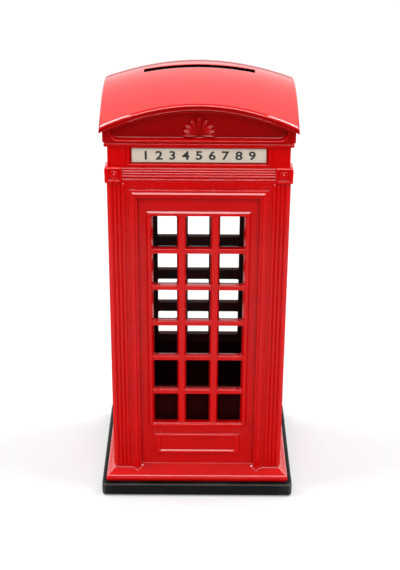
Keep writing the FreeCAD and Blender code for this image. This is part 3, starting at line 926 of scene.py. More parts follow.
@dataclass
class WallCasting:
    """One side of the kiosk: pilasters, architrave, windows, kick panel, corner blocks and pediment.

    Spans are feet and tops. kick is the kick panel's inset, foot and top, and kick_border its side and level
    borders. courses are the feet of the string courses and how strongly each stands out. corner_steps round
    the upright corner, as shares of its radius. widest are the widest cells across and up. row_ends are where
    the straight rows end, and how far under the roof the arched ones reach.
    """

    node: str
    half_span: float
    face: float
    turn: float
    curves: Mouldings = field(default_factory=Mouldings)
    wall: float = 3.8
    foot: float = 4.7
    reed_radius: float = 0.5
    reed_height: float = 0.42
    reed_pitch: float = 1.24
    reed_inset: float = 0.72
    reeds: int = 4
    reed_span: tuple[float, float] = (9.3, 109.9)
    door_inset: float = 8.8
    door_top: float = 105.1
    frame_inset: float = 12.8
    sill: float = 25.4
    row_pitch: float = 12.49
    opening: float = 10.95
    rows: int = 6
    mullion: float = 1.95
    pane_corner: float = 0.5
    lip: float = 0.22
    taper: float = 0.62
    head_taper: float = 1.0
    # share of each window reveal kept in red enamel; deeper in, the reveal takes the painted inside shade
    red_before_shade: float = 0.14
    kick: tuple[float, float, float] = (13.2, 13.6, 21.3)
    kick_border: tuple[float, float] = (2.0, 1.3)
    block_width: float = 4.3
    block_span: tuple[float, float] = (110.0, 115.3)
    block_cap: float = 0.5
    rosette_half: float = 1.80
    courses: tuple[tuple[float, float], ...] = (
        (110.0, 0.35), (110.7, 1.0), (111.75, 1.0), (112.55, 0.5), (113.35, 0.7), (114.15, 0.85))
    sign_inset: float = 6.65
    sign_span: tuple[float, float] = (116.0, 121.1)
    sign_margin: float = 0.85
    pediment_foot: float = 121.4
    recess_foot: float = 123.8
    recess_inset: float = 1.2
    recess_corner: float = 2.2
    arch_drop: float = 1.5
    corner_radius: float = 0.22
    corner_swell: float = 0.16
    corner_steps: Curve = ((1.0, 0.0), (0.617, 0.076), (0.293, 0.293))
    corner_clear: float = 0.24
    bar_crown: float = 0.16
    frame_reach: float = 3.2
    skirt_limit: float = 10.0
    sign_frame_drop: float = 0.55
    head_foot: float = 115.0
    recess_clear: float = 1.9
    grid_gap: float = 0.055
    widest: tuple[float, float] = (1.5, 2.4)
    row_ends: tuple[float, float] = (125.02, 2.72)
    rows_between: int = 9
    row_gap: float = 0.035

    def __post_init__(self) -> None:
        """Work out the window grid."""
        self.group = self.half_span - self.frame_inset
        self.pitch = (2 * self.group + self.mullion) / 3
        self.pane_half = (self.pitch - self.mullion) / 2
        self.window_top = self.sill + (self.rows - 1) * self.row_pitch + self.opening

    def panes(self) -> list[tuple[float, float, float, float]]:
        """Left, right, foot and top of every window, row by row.

        Returns:
            One tuple for each window.
        """
        found = []
        for row in range(self.rows):
            foot = self.sill + row * self.row_pitch
            for column in (-1, 0, 1):
                middle = column * self.pitch
                found.append((middle - self.pane_half, middle + self.pane_half, foot, foot + self.opening))
        return found

    def columns(self) -> np.ndarray:
        """Places of the upright grid lines.

        Returns:
            Places across the wall, from left to right.
        """
        ruler = Ruler()
        span = self.half_span
        curves = self.curves
        ruler.at(0.0, self.pitch / 2)
        for middle in (0.0, self.pitch):
            for way in (-1, 1):
                edge = middle + way * self.pane_half
                ruler.at(edge, edge - way * self.pane_corner / 2, edge - way * self.pane_corner)
                if edge < self.group - 0.1:
                    ruler.at(edge + way * self.lip)
        ruler.curve(self.group, 1, curves.frame)
        ruler.curve(span - self.door_inset, 1, curves.architrave)
        kick_half = span - self.kick[0]
        ruler.curve(kick_half, -1, curves.kick_outer)
        ruler.curve(kick_half - self.kick_border[0], -1, curves.kick_inner)
        for number in range(self.reeds):
            axis = span - self.reed_inset - number * self.reed_pitch
            chord = math.sqrt(self.reed_radius ** 2 - (self.reed_radius - self.reed_height) ** 2)
            shares = (0.0, 0.34, 0.64, 0.86, 1.0, 1.1)
            ruler.loose.update(round(axis + way * chord * share, 4) for way in (-1, 1) for share in shares)
        ruler.curve(span - self.block_width, 1, curves.block)
        for way in (-1, 1):
            ruler.curve(self.rosette_middle()[0] + way * self.rosette_half, -way, curves.rosette_bed)
        ruler.curve(span - self.sign_inset, -1, curves.sign_bed)
        ruler.curve(span - self.sign_inset + self.sign_margin, -1, curves.sign_frame)
        ruler.curve(span - self.recess_inset, -1, curves.arch)
        positive = ruler.lines(0.0, span - self.corner_clear, self.grid_gap, self.widest[0])
        return np.concatenate([-positive[:0:-1], positive])

    def rosette_middle(self) -> tuple[float, float]:
        """Middle of the block's face, which reaches round the corner."""
        crown = self.curves.block[-1][1]
        return self.half_span - self.block_width / 2 + crown / 4, sum(self.block_span) / 2

    def levels(self) -> np.ndarray:
        """Heights of the level grid lines, up to the foot of the pediment.

        Returns:
            Heights, from the foot up.
        """
        ruler = Ruler()
        curves = self.curves
        for foot in (self.sill + row * self.row_pitch for row in range(self.rows)):
            top = foot + self.opening
            for edge, way in ((foot, 1), (top, -1)):
                ruler.at(edge, edge + way * self.pane_corner / 2, edge + way * self.pane_corner)
            if foot > self.sill:
                ruler.at(foot - self.lip, foot - self.lip - 0.2)
            if top < self.window_top - 0.1:
                ruler.at(top + self.lip)
        ruler.curve(0.0, 1, curves.skirt)
        ruler.curve(self.sill, -1, curves.frame)
        ruler.curve(self.window_top, 1, curves.frame)
        ruler.curve(self.door_top, 1, curves.architrave)
        for edge, way, border in ((self.kick[1], 1, 1), (self.kick[2], -1, -1)):
            ruler.curve(edge, way, curves.kick_outer)
            ruler.curve(edge + border * self.kick_border[1], way, curves.kick_inner)
        for end, way in ((self.reed_span[0], 1), (self.reed_span[1], -1)):
            ruler.loose.update(round(end + way * share, 4) for share in (0.0, 0.06, 0.16, 0.32, 0.5))
        for course, _ in self.courses:
            ruler.curve(course, 1, curves.course)
        ruler.curve(self.block_span[0], 1, curves.block)
        ruler.curve(self.block_span[1], -1, curves.block)
        for way in (-1, 1):
            ruler.curve(self.rosette_middle()[1] + way * self.rosette_half, -way, curves.rosette_bed)
        ruler.curve(self.sign_span[0], 1, curves.sign_bed)
        ruler.curve(self.sign_span[1], -1, curves.sign_bed)
        ruler.curve(self.sign_span[0] - self.sign_frame_drop, 1, curves.sign_frame)
        return ruler.lines(self.foot, self.pediment_foot, self.grid_gap, self.widest[1])

    def relief(self, across: Points, up: Points, below: Points) -> Points:
        """How far the casting stands out from the pilaster face.

        Args:
            across: distance from the wall's middle.
            up: height.
            below: distance under the roof's plate.

        Returns:
            Millimetres outwards.
        """
        side = np.abs(across)
        curves = self.curves
        span = self.half_span
        out = np.zeros_like(side)
        foot, head = self.reed_span
        past = np.maximum(foot + self.reed_radius - up, up - head + self.reed_radius)
        past = np.maximum(past, 0.0)
        for number in range(self.reeds):
            aside = side - (span - self.reed_inset - number * self.reed_pitch)
            round_top = np.sqrt(np.maximum(self.reed_radius ** 2 - aside ** 2 - past ** 2, 0.0))
            out = np.maximum(out, round_top - (self.reed_radius - self.reed_height))
        door = np.maximum(side - (span - self.door_inset), up - self.door_top)
        out = np.where(door < curves.architrave[-1][0], along(curves.architrave, door), out)
        outside = np.maximum.reduce([side - self.group, up - self.window_top, self.sill - up])
        out = np.where(outside < self.frame_reach, along(curves.frame, outside), out)
        bars = outside < 0
        upright = 1 - ((side - self.pitch / 2) / (self.mullion / 2)) ** 2
        out = out + np.where(bars & (upright > 0), self.bar_crown * upright, 0.0)
        kick_half = span - self.kick[0]
        outer = np.minimum.reduce([kick_half - side, up - self.kick[1], self.kick[2] - up])
        inner = np.minimum.reduce([kick_half - self.kick_border[0] - side,
                                   up - self.kick[1] - self.kick_border[1],
                                   self.kick[2] - self.kick_border[1] - up])
        raised = along(curves.kick_outer, outer) * along(curves.kick_inner, inner)
        out = out + np.where(outer > 0, raised, 0.0)
        out = np.where(up < self.skirt_limit, np.maximum(out, along(curves.skirt, up)), out)
        return self.head_relief(side, up, below, out)

    def head_relief(self, side: Points, up: Points, below: Points, out: Points) -> Points:
        """Add what is above the door: courses, corner blocks, sign recess and pediment.

        Args:
            side: distance from the wall's middle, never negative.
            up: height.
            below: distance under the roof's plate.
            out: relief of what is below.

        Returns:
            The whole relief.
        """
        curves = self.curves
        span = self.half_span
        between_blocks = side < span - self.block_width
        for course, strength in self.courses:
            out = out + np.where(between_blocks, strength * along(curves.course, up - course), 0.0)
        inside = np.minimum.reduce([side - (span - self.block_width), up - self.block_span[0],
                                    (self.block_span[1] - up) * self.block_cap])
        middle = self.rosette_middle()
        bed = self.rosette_half - np.maximum(np.abs(side - middle[0]), np.abs(up - middle[1]))
        block = along(curves.block, inside) - along(curves.rosette_bed, bed)
        out = np.where(inside > 0, block, out)
        foot, head = self.sign_span
        sign = np.minimum.reduce([span - self.sign_inset - side, up - foot, head - up])
        frame_edge = np.minimum(span - self.sign_inset + self.sign_margin - side,
                                up - foot + self.sign_frame_drop)
        framed = (up > self.head_foot) & (up < self.pediment_foot + 0.01)
        out = out + np.where(framed, along(curves.sign_frame, frame_edge) - along(curves.sign_bed, sign), 0.0)
        above = up - self.pediment_foot
        out = np.where(above >= 0, along(curves.pediment, above), out)
        recess = along(curves.arch, self.arch_depth(side, up, below))
        return out + np.where(above > self.recess_clear, recess, 0.0)

    def arch_depth(self, side: Points, up: Points, below: Points) -> Points:
        """How deep inside the arched recess of the pediment each point is.

        Args:
            side: distance from the wall's middle.
            up: height.
            below: distance under the roof's plate.

        Returns:
            Distance from the recess's outline, negative outside it.
        """
        radius = self.recess_corner
        aside = self.half_span - self.recess_inset - side
        rise = up - self.recess_foot
        near = np.hypot(np.maximum(radius - aside, 0), np.maximum(radius - rise, 0))
        cornered = np.where((aside < radius) & (rise < radius), radius - near, np.minimum(aside, rise))
        return np.minimum(cornered, below - self.arch_drop)

    def upper_rows(self, top: Points) -> Points:
        """Heights of the rows in the pediment, straight at its foot and arched under the roof.

        Args:
            top: height of the wall's top at each column.

        Returns:
            Heights, by column and row.
        """
        ruler = Ruler()
        ruler.curve(self.pediment_foot, 1, self.curves.pediment)
        ruler.curve(self.recess_foot, 1, self.curves.arch)
        straight = ruler.lines(self.pediment_foot, self.row_ends[0], 0.05, 0.4)[1:]
        ruler = Ruler()
        ruler.curve(self.arch_drop, 1, self.curves.arch)
        arched = ruler.lines(0.0, self.row_ends[1], 0.05, 0.35)[::-1]
        rows = [np.full_like(top, height) for height in straight]
        for step in range(1, self.rows_between):
            share = step / self.rows_between
            rows.append((1 - share) * straight[-1] + share * (top - arched[0]))
        rows += [top - drop for drop in arched]
        heights = np.stack(rows, axis=1)
        for row in range(1, heights.shape[1]):
            heights[:, row] = np.maximum(heights[:, row], heights[:, row - 1] + self.row_gap)
        heights[:, -1] = top
        for row in range(heights.shape[1] - 2, -1, -1):
            heights[:, row] = np.minimum(heights[:, row], heights[:, row + 1] - self.row_gap)
        return heights

    def world(self, across: Points, out: Points, up: Points) -> Points:
        """Turn wall coordinates into the frame's.

        Args:
            across: distance from the wall's middle, to the right seen from outside.
            out: distance out from the pilaster face.
            up: height.

        Returns:
            Points, in millimetres.
        """
        angle = math.radians(self.turn)
        x, y = across, -(self.face + out)
        turned_x = x * math.cos(angle) - y * math.sin(angle)
        turned_y = x * math.sin(angle) + y * math.cos(angle)
        return np.stack([turned_x, turned_y, up], axis=-1)

    def roof_over(self, across: Points, out: Points) -> Points:
        """Height of the wall's top over a place."""
        spot = self.world(across, out, np.zeros_like(across))
        return DOME.under(spot[..., 0], spot[..., 1])

    def pane_ring(self, across: Points, up: Points, pane: Sequence[float], spread: float,
                  back: float) -> tuple[Points, Points]:
        """Move points of a window's square outline to its rounded and tapered one.

        Args:
            across: places across the wall.
            up: heights.
            pane: left, right, foot and top of the window.
            spread: how far outside the outline the ring lies.
            back: 0 at the face of the wall, 1 at its inside.

        Returns:
            The new places and heights.
        """
        left, right, foot, _ = pane
        middle = (left + right) / 2
        new_x, new_z = rounded_outline(across, up, pane, self.pane_corner, spread)
        new_x = middle + (new_x - middle) * (1 - back * self.taper / self.pane_half)
        return new_x, foot + (new_z - foot) * (1 - back * self.head_taper / self.opening)

    def skin(self) -> TwinSkin:
        """Both faces of the casting, with the window openings through them.

        Returns:
            The closed shell.
        """
        columns = self.columns()
        low = self.levels()
        count = len(columns)
        crown = self.curves.block[-1][1]
        top = self.roof_over(columns, np.full(count, crown))
        up = np.concatenate([np.tile(low, (count, 1)), self.upper_rows(top)], axis=1)
        across = np.tile(columns[:, None], (1, up.shape[1]))
        out = self.relief(across, up, top[:, None] - up)
        end_top = self.roof_over(np.array([self.half_span + crown]), np.array([crown]))
        end_up = np.concatenate([low[None, :], self.upper_rows(end_top)], axis=1)[0]
        end_out = self.relief(np.full_like(end_up, self.half_span), end_up, end_top[0] - end_up)
        radius = self.corner_radius + self.corner_swell * np.clip(end_out, 0.0, 0.9)
        last_across = np.array([self.half_span + end_out - back * radius for back, _ in self.corner_steps])
        last_out = np.array([end_out - back * radius for _, back in self.corner_steps])
        last_up = np.tile(end_up, (len(self.corner_steps), 1))
        across = np.concatenate([-last_across[::-1], across, last_across])
        out = np.concatenate([last_out[::-1], out, last_out])
        up = np.concatenate([last_up, up, last_up])
        return self.pierced(columns, low, across, out, up)

    def pierced(self, columns: Points, low: Points, across: Points, out: Points, up: Points) -> TwinSkin:
        """Add the inside face and the windows.

        Args:
            columns: places of the upright lines.
            low: heights of the level lines below the pediment.
            across: places of all points of the face.
            out: their relief.
            up: their heights.

        Returns:
            The closed shell.
        """
        inner_half = self.half_span - self.wall
        straight = self.group + 0.8
        known, moved = (0.0, straight, columns[-1]), (0.0, straight, inner_half - 0.3)
        inner = np.sign(columns) * np.interp(np.abs(columns), known, moved)
        steps = inner_half - np.array([0.2, 0.1, 0.0])
        inner = np.concatenate([-steps[::-1], inner, steps])
        inner_across = np.tile(inner[:, None], (1, up.shape[1]))
        inner_out = np.full_like(inner_across, -self.wall)
        share = np.maximum(up - self.pediment_foot, 0) / (up[:, -1:] - self.pediment_foot)
        rise = self.roof_over(inner, inner_out[:, 0])[:, None] - self.pediment_foot
        inner_up = np.where(up > self.pediment_foot, self.pediment_foot + share * rise, up)
        holes, rings = [], []
        for pane in self.panes():
            i0, i1 = (nearest(columns, place) + len(self.corner_steps) for place in pane[:2])
            j0, j1 = (nearest(low, place) for place in pane[2:])
            block = (i0, i1, j0, j1)
            spots = tuple(np.array(block_loop(block)).T)
            flat_x, flat_z, depth = across[spots], up[spots], out[spots]
            chain = []
            for spread, back in ((0.045, 0.03), (0.0, 0.10), (0.0, self.red_before_shade), (0.0, 0.93)):
                ring_x, ring_z = self.pane_ring(flat_x, flat_z, pane, spread, back)
                chain.append(self.world(ring_x, depth - back * (self.wall + depth), ring_z))
            holes.append(block)
            rings.append(chain)
            inner_across[spots], inner_up[spots] = self.pane_ring(flat_x, flat_z, pane, 0.14, 1.0)
            across[spots], up[spots] = self.pane_ring(flat_x, flat_z, pane, 0.15, 0.0)
            out[spots] = depth - 0.01
        inside = self.world(inner_across, inner_out, inner_up)
        return TwinSkin(self.world(across, out, up), inside, holes, rings, painted_rings=3)

    def build(self) -> bpy.types.Object:
        """Make the casting and put it in place of its CAD node.

        Returns:
            The wall.
        """
        name = self.node.replace("panel", "wall")
        made = self.skin().build(name, (Finish.BODY, Finish.INSIDE))
        return attach(made, "booth", "red_enamel", self.node)


def attach(made: bpy.types.Object, body: str, slot: str, *nodes: str) -> bpy.types.Object:
    """Let a finished piece ride on a body and stand for CAD nodes.

    Args:
        made: the piece.
        body: the body it moves with.
        slot: the record's material slot; not used.
        nodes: the nodes that it stands for.

    Returns:
        The piece.
    """
    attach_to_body(made, body)
    if nodes:
        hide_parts(*nodes)
    triangles = sum(len(face.vertices) - 2 for face in made.data.polygons)
    log.info("%s: %d triangles on %s", made.name, triangles, body)
    return made


# ---- roof -----------------------------------------------------------------------------------

@dataclass
class RoofCasting:
    """The domed roof with its coin slot, the rim that keeps it on the walls and the post bosses."""

    edge: float = 0.56
    slot_half: tuple[float, float] = (17.0, 1.75)
    slot_corner: float = 0.4
    slot_lip: float = 0.1
    undercut: float = 1.4
    foot_bevel: float = 0.12
    line_gap: float = 0.04
    widest: float = 0.8
    rim_half: tuple[float, float] = (23.35, 18.1)
    rim_wall: float = 1.2
    rim_foot: float = 123.2
    boss_radius: float = 3.0
    bore: tuple[float, float] = (1.55, 6.0)
    boss_foot: float = 120.4

    def axis_lines(self, half: float, slot: float) -> np.ndarray:
        """Places of the grid lines on one axis.

        Args:
            half: half the roof's size.
            slot: half the slot's size.

        Returns:
            Places from one edge to the other.
        """
        ruler = Ruler()
        ruler.at(slot, slot - self.slot_corner / 2, slot - self.slot_corner)
        ruler.at(slot + self.slot_lip, slot + self.slot_lip + 0.3)
        ruler.at(half - self.edge - 0.3)
        positive = ruler.lines(0.0, half - self.edge, self.line_gap, self.widest)
        return np.concatenate([-positive[:0:-1], positive])

    def stretch(self, inset: float) -> tuple[float, float]:
        """Factors that bring the grid's border to an inset from the roof's edge, on both axes."""
        half_x, half_y = DOME.half_x, DOME.half_y
        return (half_x - inset) / (half_x - self.edge), (half_y - inset) / (half_y - self.edge)

    def sheet(self, x: Points, y: Points, drop: float) -> Points:
        """Points on or parallel under the dome."""
        return np.stack([x, y, DOME.top(x, y) - drop], axis=-1)

    def undercut_line(self, place: Points, half: float) -> Points:
        """Widen the underside's opening on one axis, so that the slot's lip is thin."""
        known = [0.0, half, half + 3.5, 40.0]
        return np.sign(place) * np.interp(np.abs(place), known, [0.0, half + self.undercut, half + 4.0, 40.0])

    def slot_ring(self, x: Points, y: Points, spread: float) -> tuple[Points, Points]:
        """Move points of the slot's square outline to its rounded one, or a little outside it."""
        half_x, half_y = self.slot_half
        return rounded_outline(x, y, (-half_x, half_x, -half_y, half_y), self.slot_corner, spread)

    def build(self) -> list[bpy.types.Object]:
        """Make the roof in place of its CAD node.

        Returns:
            The dome, and the rim with its bosses.
        """
        lines_x = self.axis_lines(DOME.half_x, self.slot_half[0])
        lines_y = self.axis_lines(DOME.half_y, self.slot_half[1])
        x, y = np.meshgrid(lines_x, lines_y, indexing="ij")
        slot_x, slot_y = self.slot_half
        block = (nearest(lines_x, -slot_x), nearest(lines_x, slot_x),
                 nearest(lines_y, -slot_y), nearest(lines_y, slot_y))
        spots = tuple(np.array(block_loop(block)).T)
        flat = (x[spots], y[spots])
        front = self.sheet(x, y, 0.0)
        scale_x, scale_y = self.stretch(self.foot_bevel)
        wide_x = self.undercut_line(x * scale_x, slot_x)
        wide_y = self.undercut_line(y * scale_y, slot_y)
        back = self.sheet(wide_x, wide_y, DOME.plate)
        front[spots] = self.sheet(*self.slot_ring(*flat, 0.06), 0.06)
        back[spots] = self.sheet(*self.slot_ring(*flat, self.undercut), DOME.plate)
        slot_rings = [self.sheet(*self.slot_ring(*flat, spread), drop)
                      for spread, drop in ((0.0, self.slot_lip), (0.0, 0.15), (self.undercut - 0.2, 0.4))]
        border = tuple(np.array(block_loop((0, len(lines_x) - 1, 0, len(lines_y) - 1))).T)
        border_rings = []
        turns = [math.radians(angle) for angle in (18, 36, 54, 72, 90)]
        fillet = [(self.edge * (1 - math.sin(turn)), self.edge * (1 - math.cos(turn))) for turn in turns]
        for inset, drop in (*fillet, (0.0, DOME.plate - self.foot_bevel)):
            scale_x, scale_y = self.stretch(inset)
            border_rings.append(self.sheet(x[border] * scale_x, y[border] * scale_y, drop))
        shell = TwinSkin(front, back, [block], [slot_rings], border_rings, painted_rings=2)
        dome = shell.build("roof_dome", (Finish.BODY, Finish.INSIDE))
        return [attach(dome, "booth", "red_enamel", "roof_shell"), self.fixings()]

    def fixings(self) -> bpy.types.Object:
        """The rim inside the walls and the four bosses for the posts.

        Returns:
            The piece.
        """
        rings = []
        for inset, foot in ((0.0, True), (0.0, False), (self.rim_wall, False), (self.rim_wall, True)):
            half_x, half_y = self.rim_half[0] - inset, self.rim_half[1] - inset
            ring = rounded_rectangle(half_x, half_y, 0.6 if inset == 0.0 else 0.3, self.rim_foot, 4, 24)
            if not foot:
                ring[:, 2] = DOME.top(ring[:, 0], ring[:, 1]) - DOME.plate / 2
            rings.append(ring)
        bosses = []
        for corner in CORNERS:
            centre = plan_middle("tie_post_" + corner)
            head = float(DOME.top(np.array(centre[0]), np.array(centre[1]))) - DOME.plate - 0.9
            foot, outer, (bore, depth) = self.boss_foot, self.boss_radius, self.bore
            profile = ((bore, foot + depth), (bore, foot + 0.25), (bore + 0.25, foot), (outer - 0.2, foot),
                       (outer, foot + 0.2), (outer, head))
            bosses.append(turned_parts(profile, centre))
        made = ring_loft("roof_fixings", rings, (Finish.INSIDE,), True, bosses)
        return attach(made, "booth", "red_enamel")


# ---- pieces that repeat ---------------------------------------------------------------------

class Scatter:
    """A Geometry Nodes tree that puts one prototype on every point of a mesh."""

    inputs: dict[str, str] = {
        "Geometry": "Geometry", "Prototype": "Object", "Size": "Float", "Finish": "Material"}

    def __init__(self, name: str) -> None:
        """Build the tree, with named inputs for what is set from outside.

        Args:
            name: the tree's name.
        """
        self.tree = bpy.data.node_groups.new(name, "GeometryNodeTree")
        for way, kinds in (("INPUT", self.inputs), ("OUTPUT", {"Geometry": "Geometry"})):
            for label, kind in kinds.items():
                self.tree.interface.new_socket(label, in_out=way, socket_type="NodeSocket" + kind)
        start, end = self.node("NodeGroupInput"), self.node("NodeGroupOutput")
        info = self.node("GeometryNodeObjectInfo")
        info.inputs["As Instance"].default_value = True
        turn, scale = self.named("turn"), self.named("scale")
        grow = self.node("ShaderNodeVectorMath", operation="SCALE")
        rotate = self.node("FunctionNodeEulerToRotation")
        copies = self.node("GeometryNodeInstanceOnPoints")
        realize = self.node("GeometryNodeRealizeInstances")
        dress = self.node("GeometryNodeSetMaterial")
        wires = ((start, "Prototype", info, "Object"), (start, "Geometry", copies, "Points"),
                 (info, "Geometry", copies, "Instance"), (turn, "Attribute", rotate, 0),
                 (rotate, 0, copies, "Rotation"), (scale, "Attribute", grow, 0),
                 (start, "Size", grow, "Scale"), (grow, 0, copies, "Scale"), (copies, 0, realize, 0),
                 (realize, 0, dress, "Geometry"), (start, "Finish", dress, "Material"), (dress, 0, end, 0))
        for source, output, target, entry in wires:
            self.tree.links.new(source.outputs[output], target.inputs[entry])

    def node(self, kind: str, **settings: str) -> bpy.types.Node:
        """Add a node with its settings.

        Args:
            kind: the node's type.
            settings: its properties.

        Returns:
            The node.
        """
        made = self.tree.nodes.new(kind)
        for key, value in settings.items():
            setattr(made, key, value)
        return made

    def named(self, attribute: str) -> bpy.types.Node:
        """Add a node that reads a vector kept on the points.

        Args:
            attribute: the vector's name.

        Returns:
            The node.
        """
        made = self.node("GeometryNodeInputNamedAttribute", data_type="FLOAT_VECTOR")
        made.inputs["Name"].default_value = attribute
        return made

    def spread(self, name: str, prototype: bpy.types.Object, finish: Finish, places: Sequence[Points],
               turns: Sequence[Sequence[float]],
               scales: Sequence[Sequence[float]] | None = None) -> bpy.types.Object:
        """Put the prototype on places, as one plain mesh.

        Args:
            name: name of the result.
            prototype: what is repeated; it is removed afterwards.
            finish: its finish.
            places: where each copy goes, in millimetres.
            turns: Euler angles of each copy.
            scales: size of each copy on each axis, or None for 1.

        Returns:
            The object.
        """
        mesh = bpy.data.meshes.new(name)
        mesh.from_pydata((np.array(places) * MM).tolist(), [], [])
        for key, rows in (("turn", turns), ("scale", scales or [(1.0, 1.0, 1.0)] * len(places))):
            values = mesh.attributes.new(key, "FLOAT_VECTOR", "POINT")
            values.data.foreach_set("vector", np.array(rows, dtype=np.float32).ravel())
        made = linked(name, mesh)
        modifier = made.modifiers.new("scatter", "NODES")
        modifier.node_group = self.tree
        values = {"Prototype": prototype, "Size": 1.0, "Finish": PAINT.take(finish)}
        for item in self.tree.interface.items_tree:
            if item.in_out == "INPUT" and item.name in values:
                modifier[item.identifier] = values[item.name]
        settle(made)
        for key in ("turn", "scale"):
            if key in made.data.attributes:
                made.data.attributes.remove(made.data.attributes[key])
        bpy.data.objects.remove(prototype)
        return made


@dataclass
class Ornaments:
    """Round bosses on the corner blocks and the leaf crest in the middle of each pediment.

    fan and side_leaves hold the lean in degrees, the length and the place across of each leaf.
    """

    walls: Sequence[WallCasting]
    rosette_radius: float = 1.42
    bed_out: float = 0.60
    crest_foot: float = 124.9
    crest_floor: float = -0.50
    leaf_length: float = 3.95
    leaf_half_width: float = 0.92
    leaf_height: float = 1.3
    leaf_back: float = -0.3
    vein_depth: float = 0.30
    fan_rise: float = 0.55
    fan_width: float = 0.92
    fan: tuple[tuple[float, float, float], ...] = (
        (-74, 1.05, -0.95), (-50, 1.12, -0.7), (-25, 1.2, -0.35), (0, 1.3, 0.0),
        (25, 1.2, 0.35), (50, 1.12, 0.7), (74, 1.05, 0.95))
    side_leaves: tuple[tuple[float, float, float], ...] = ((-90, 1.15, -0.6), (90, 1.15, 0.6))
    side_size: tuple[float, float] = (0.62, 0.8)

    def rosette(self) -> bpy.types.Object:
        """A round boss with a raised rim, lying in XY.

        Returns:
            The prototype.
        """
        profile = ((-0.25, 1.0), (0.16, 1.0), (0.34, 0.90), (0.42, 0.76), (0.36, 0.62), (0.22, 0.52),
                   (0.26, 0.42), (0.48, 0.32), (0.62, 0.18), (0.66, 0.06))
        turned = tuple((share * self.rosette_radius, height) for height, share in profile)
        return turned_object("rosette_prototype", turned, Finish.BODY)

    def leaf(self) -> bpy.types.Object:
        """A pointed leaf with a vein, its foot at the origin, growing along +Y and rising along +Z.

        Returns:
            The prototype.
        """
        rows, half = [], 9
        shape = ((0.0, 0.30), (0.08, 0.44), (0.25, 0.66), (0.45, 0.90), (0.62, 1.0), (0.78, 0.88),
                 (0.90, 0.58), (1.0, 0.16))
        for share, width in shape:
            across = np.linspace(-1, 1, half)
            crown = np.sqrt(np.maximum(1 - across ** 2, 0.0)) * (0.45 + 0.55 * width)
            vein = self.vein_depth * np.exp(-(across / 0.22) ** 2)
            x = across * self.leaf_half_width * width
            z = self.leaf_height * (crown - vein) * (0.75 + 0.25 * math.sin(math.pi * share))
            y = np.full(half, share * self.leaf_length)
            upper = np.column_stack([x, y, z])
            lower = np.column_stack([x[::-1], y, np.full(half, self.leaf_back)])
            rows.append(np.concatenate([upper, lower]))
        return ring_loft("leaf_prototype", rows, (Finish.BODY,))

    def standing(self, wall: WallCasting, across: float, out: float, up: float, lean: float) -> tuple:
        """Place and turn of an ornament on a wall.

        Args:
            wall: the wall.
            across: distance from its middle.
            out: distance from its pilaster face.
            up: height.
            lean: angle from upright, in degrees.

        Returns:
            Place in millimetres, Euler angles.
        """
        place = wall.world(np.array(across), np.array(out), np.array(up))
        facing = Matrix.Rotation(math.radians(wall.turn), 3, "Z") @ Matrix.Rotation(math.pi / 2, 3, "X")
        leaning = Matrix.Rotation(math.radians(-lean), 3, "Z")
        return place, tuple((facing @ leaning).to_euler())

    def build(self, scatter: Scatter) -> list[bpy.types.Object]:
        """Make all ornaments, each kind as one piece.

        Args:
            scatter: the tree that spreads the prototypes.

        Returns:
            The bosses and the leaves.
        """
        discs, leaves, sizes = [], [], []
        for wall in self.walls:
            across, up = wall.rosette_middle()
            discs += [self.standing(wall, side * across, self.bed_out, up, 0.0) for side in (-1, 1)]
            fan_foot = self.crest_foot + self.fan_rise
            for lean, length, aside in self.fan:
                leaves.append(self.standing(wall, aside, self.crest_floor, fan_foot, lean))
                sizes.append((self.fan_width, length, 1.0))
            for lean, length, aside in self.side_leaves:
                leaves.append(self.standing(wall, aside, self.crest_floor, self.crest_foot, lean))
                sizes.append((self.side_size[0], length, self.side_size[1]))
        made = []
        for name, prototype, spots, scales in (("rosettes", self.rosette(), discs, None),
                                               ("pediment_leaves", self.leaf(), leaves, sizes)):
            places, turns = zip(*spots)
            piece = scatter.spread(name, prototype, Finish.BODY, places, turns, scales)
            made.append(attach(piece, "booth", "red_enamel"))
        return made


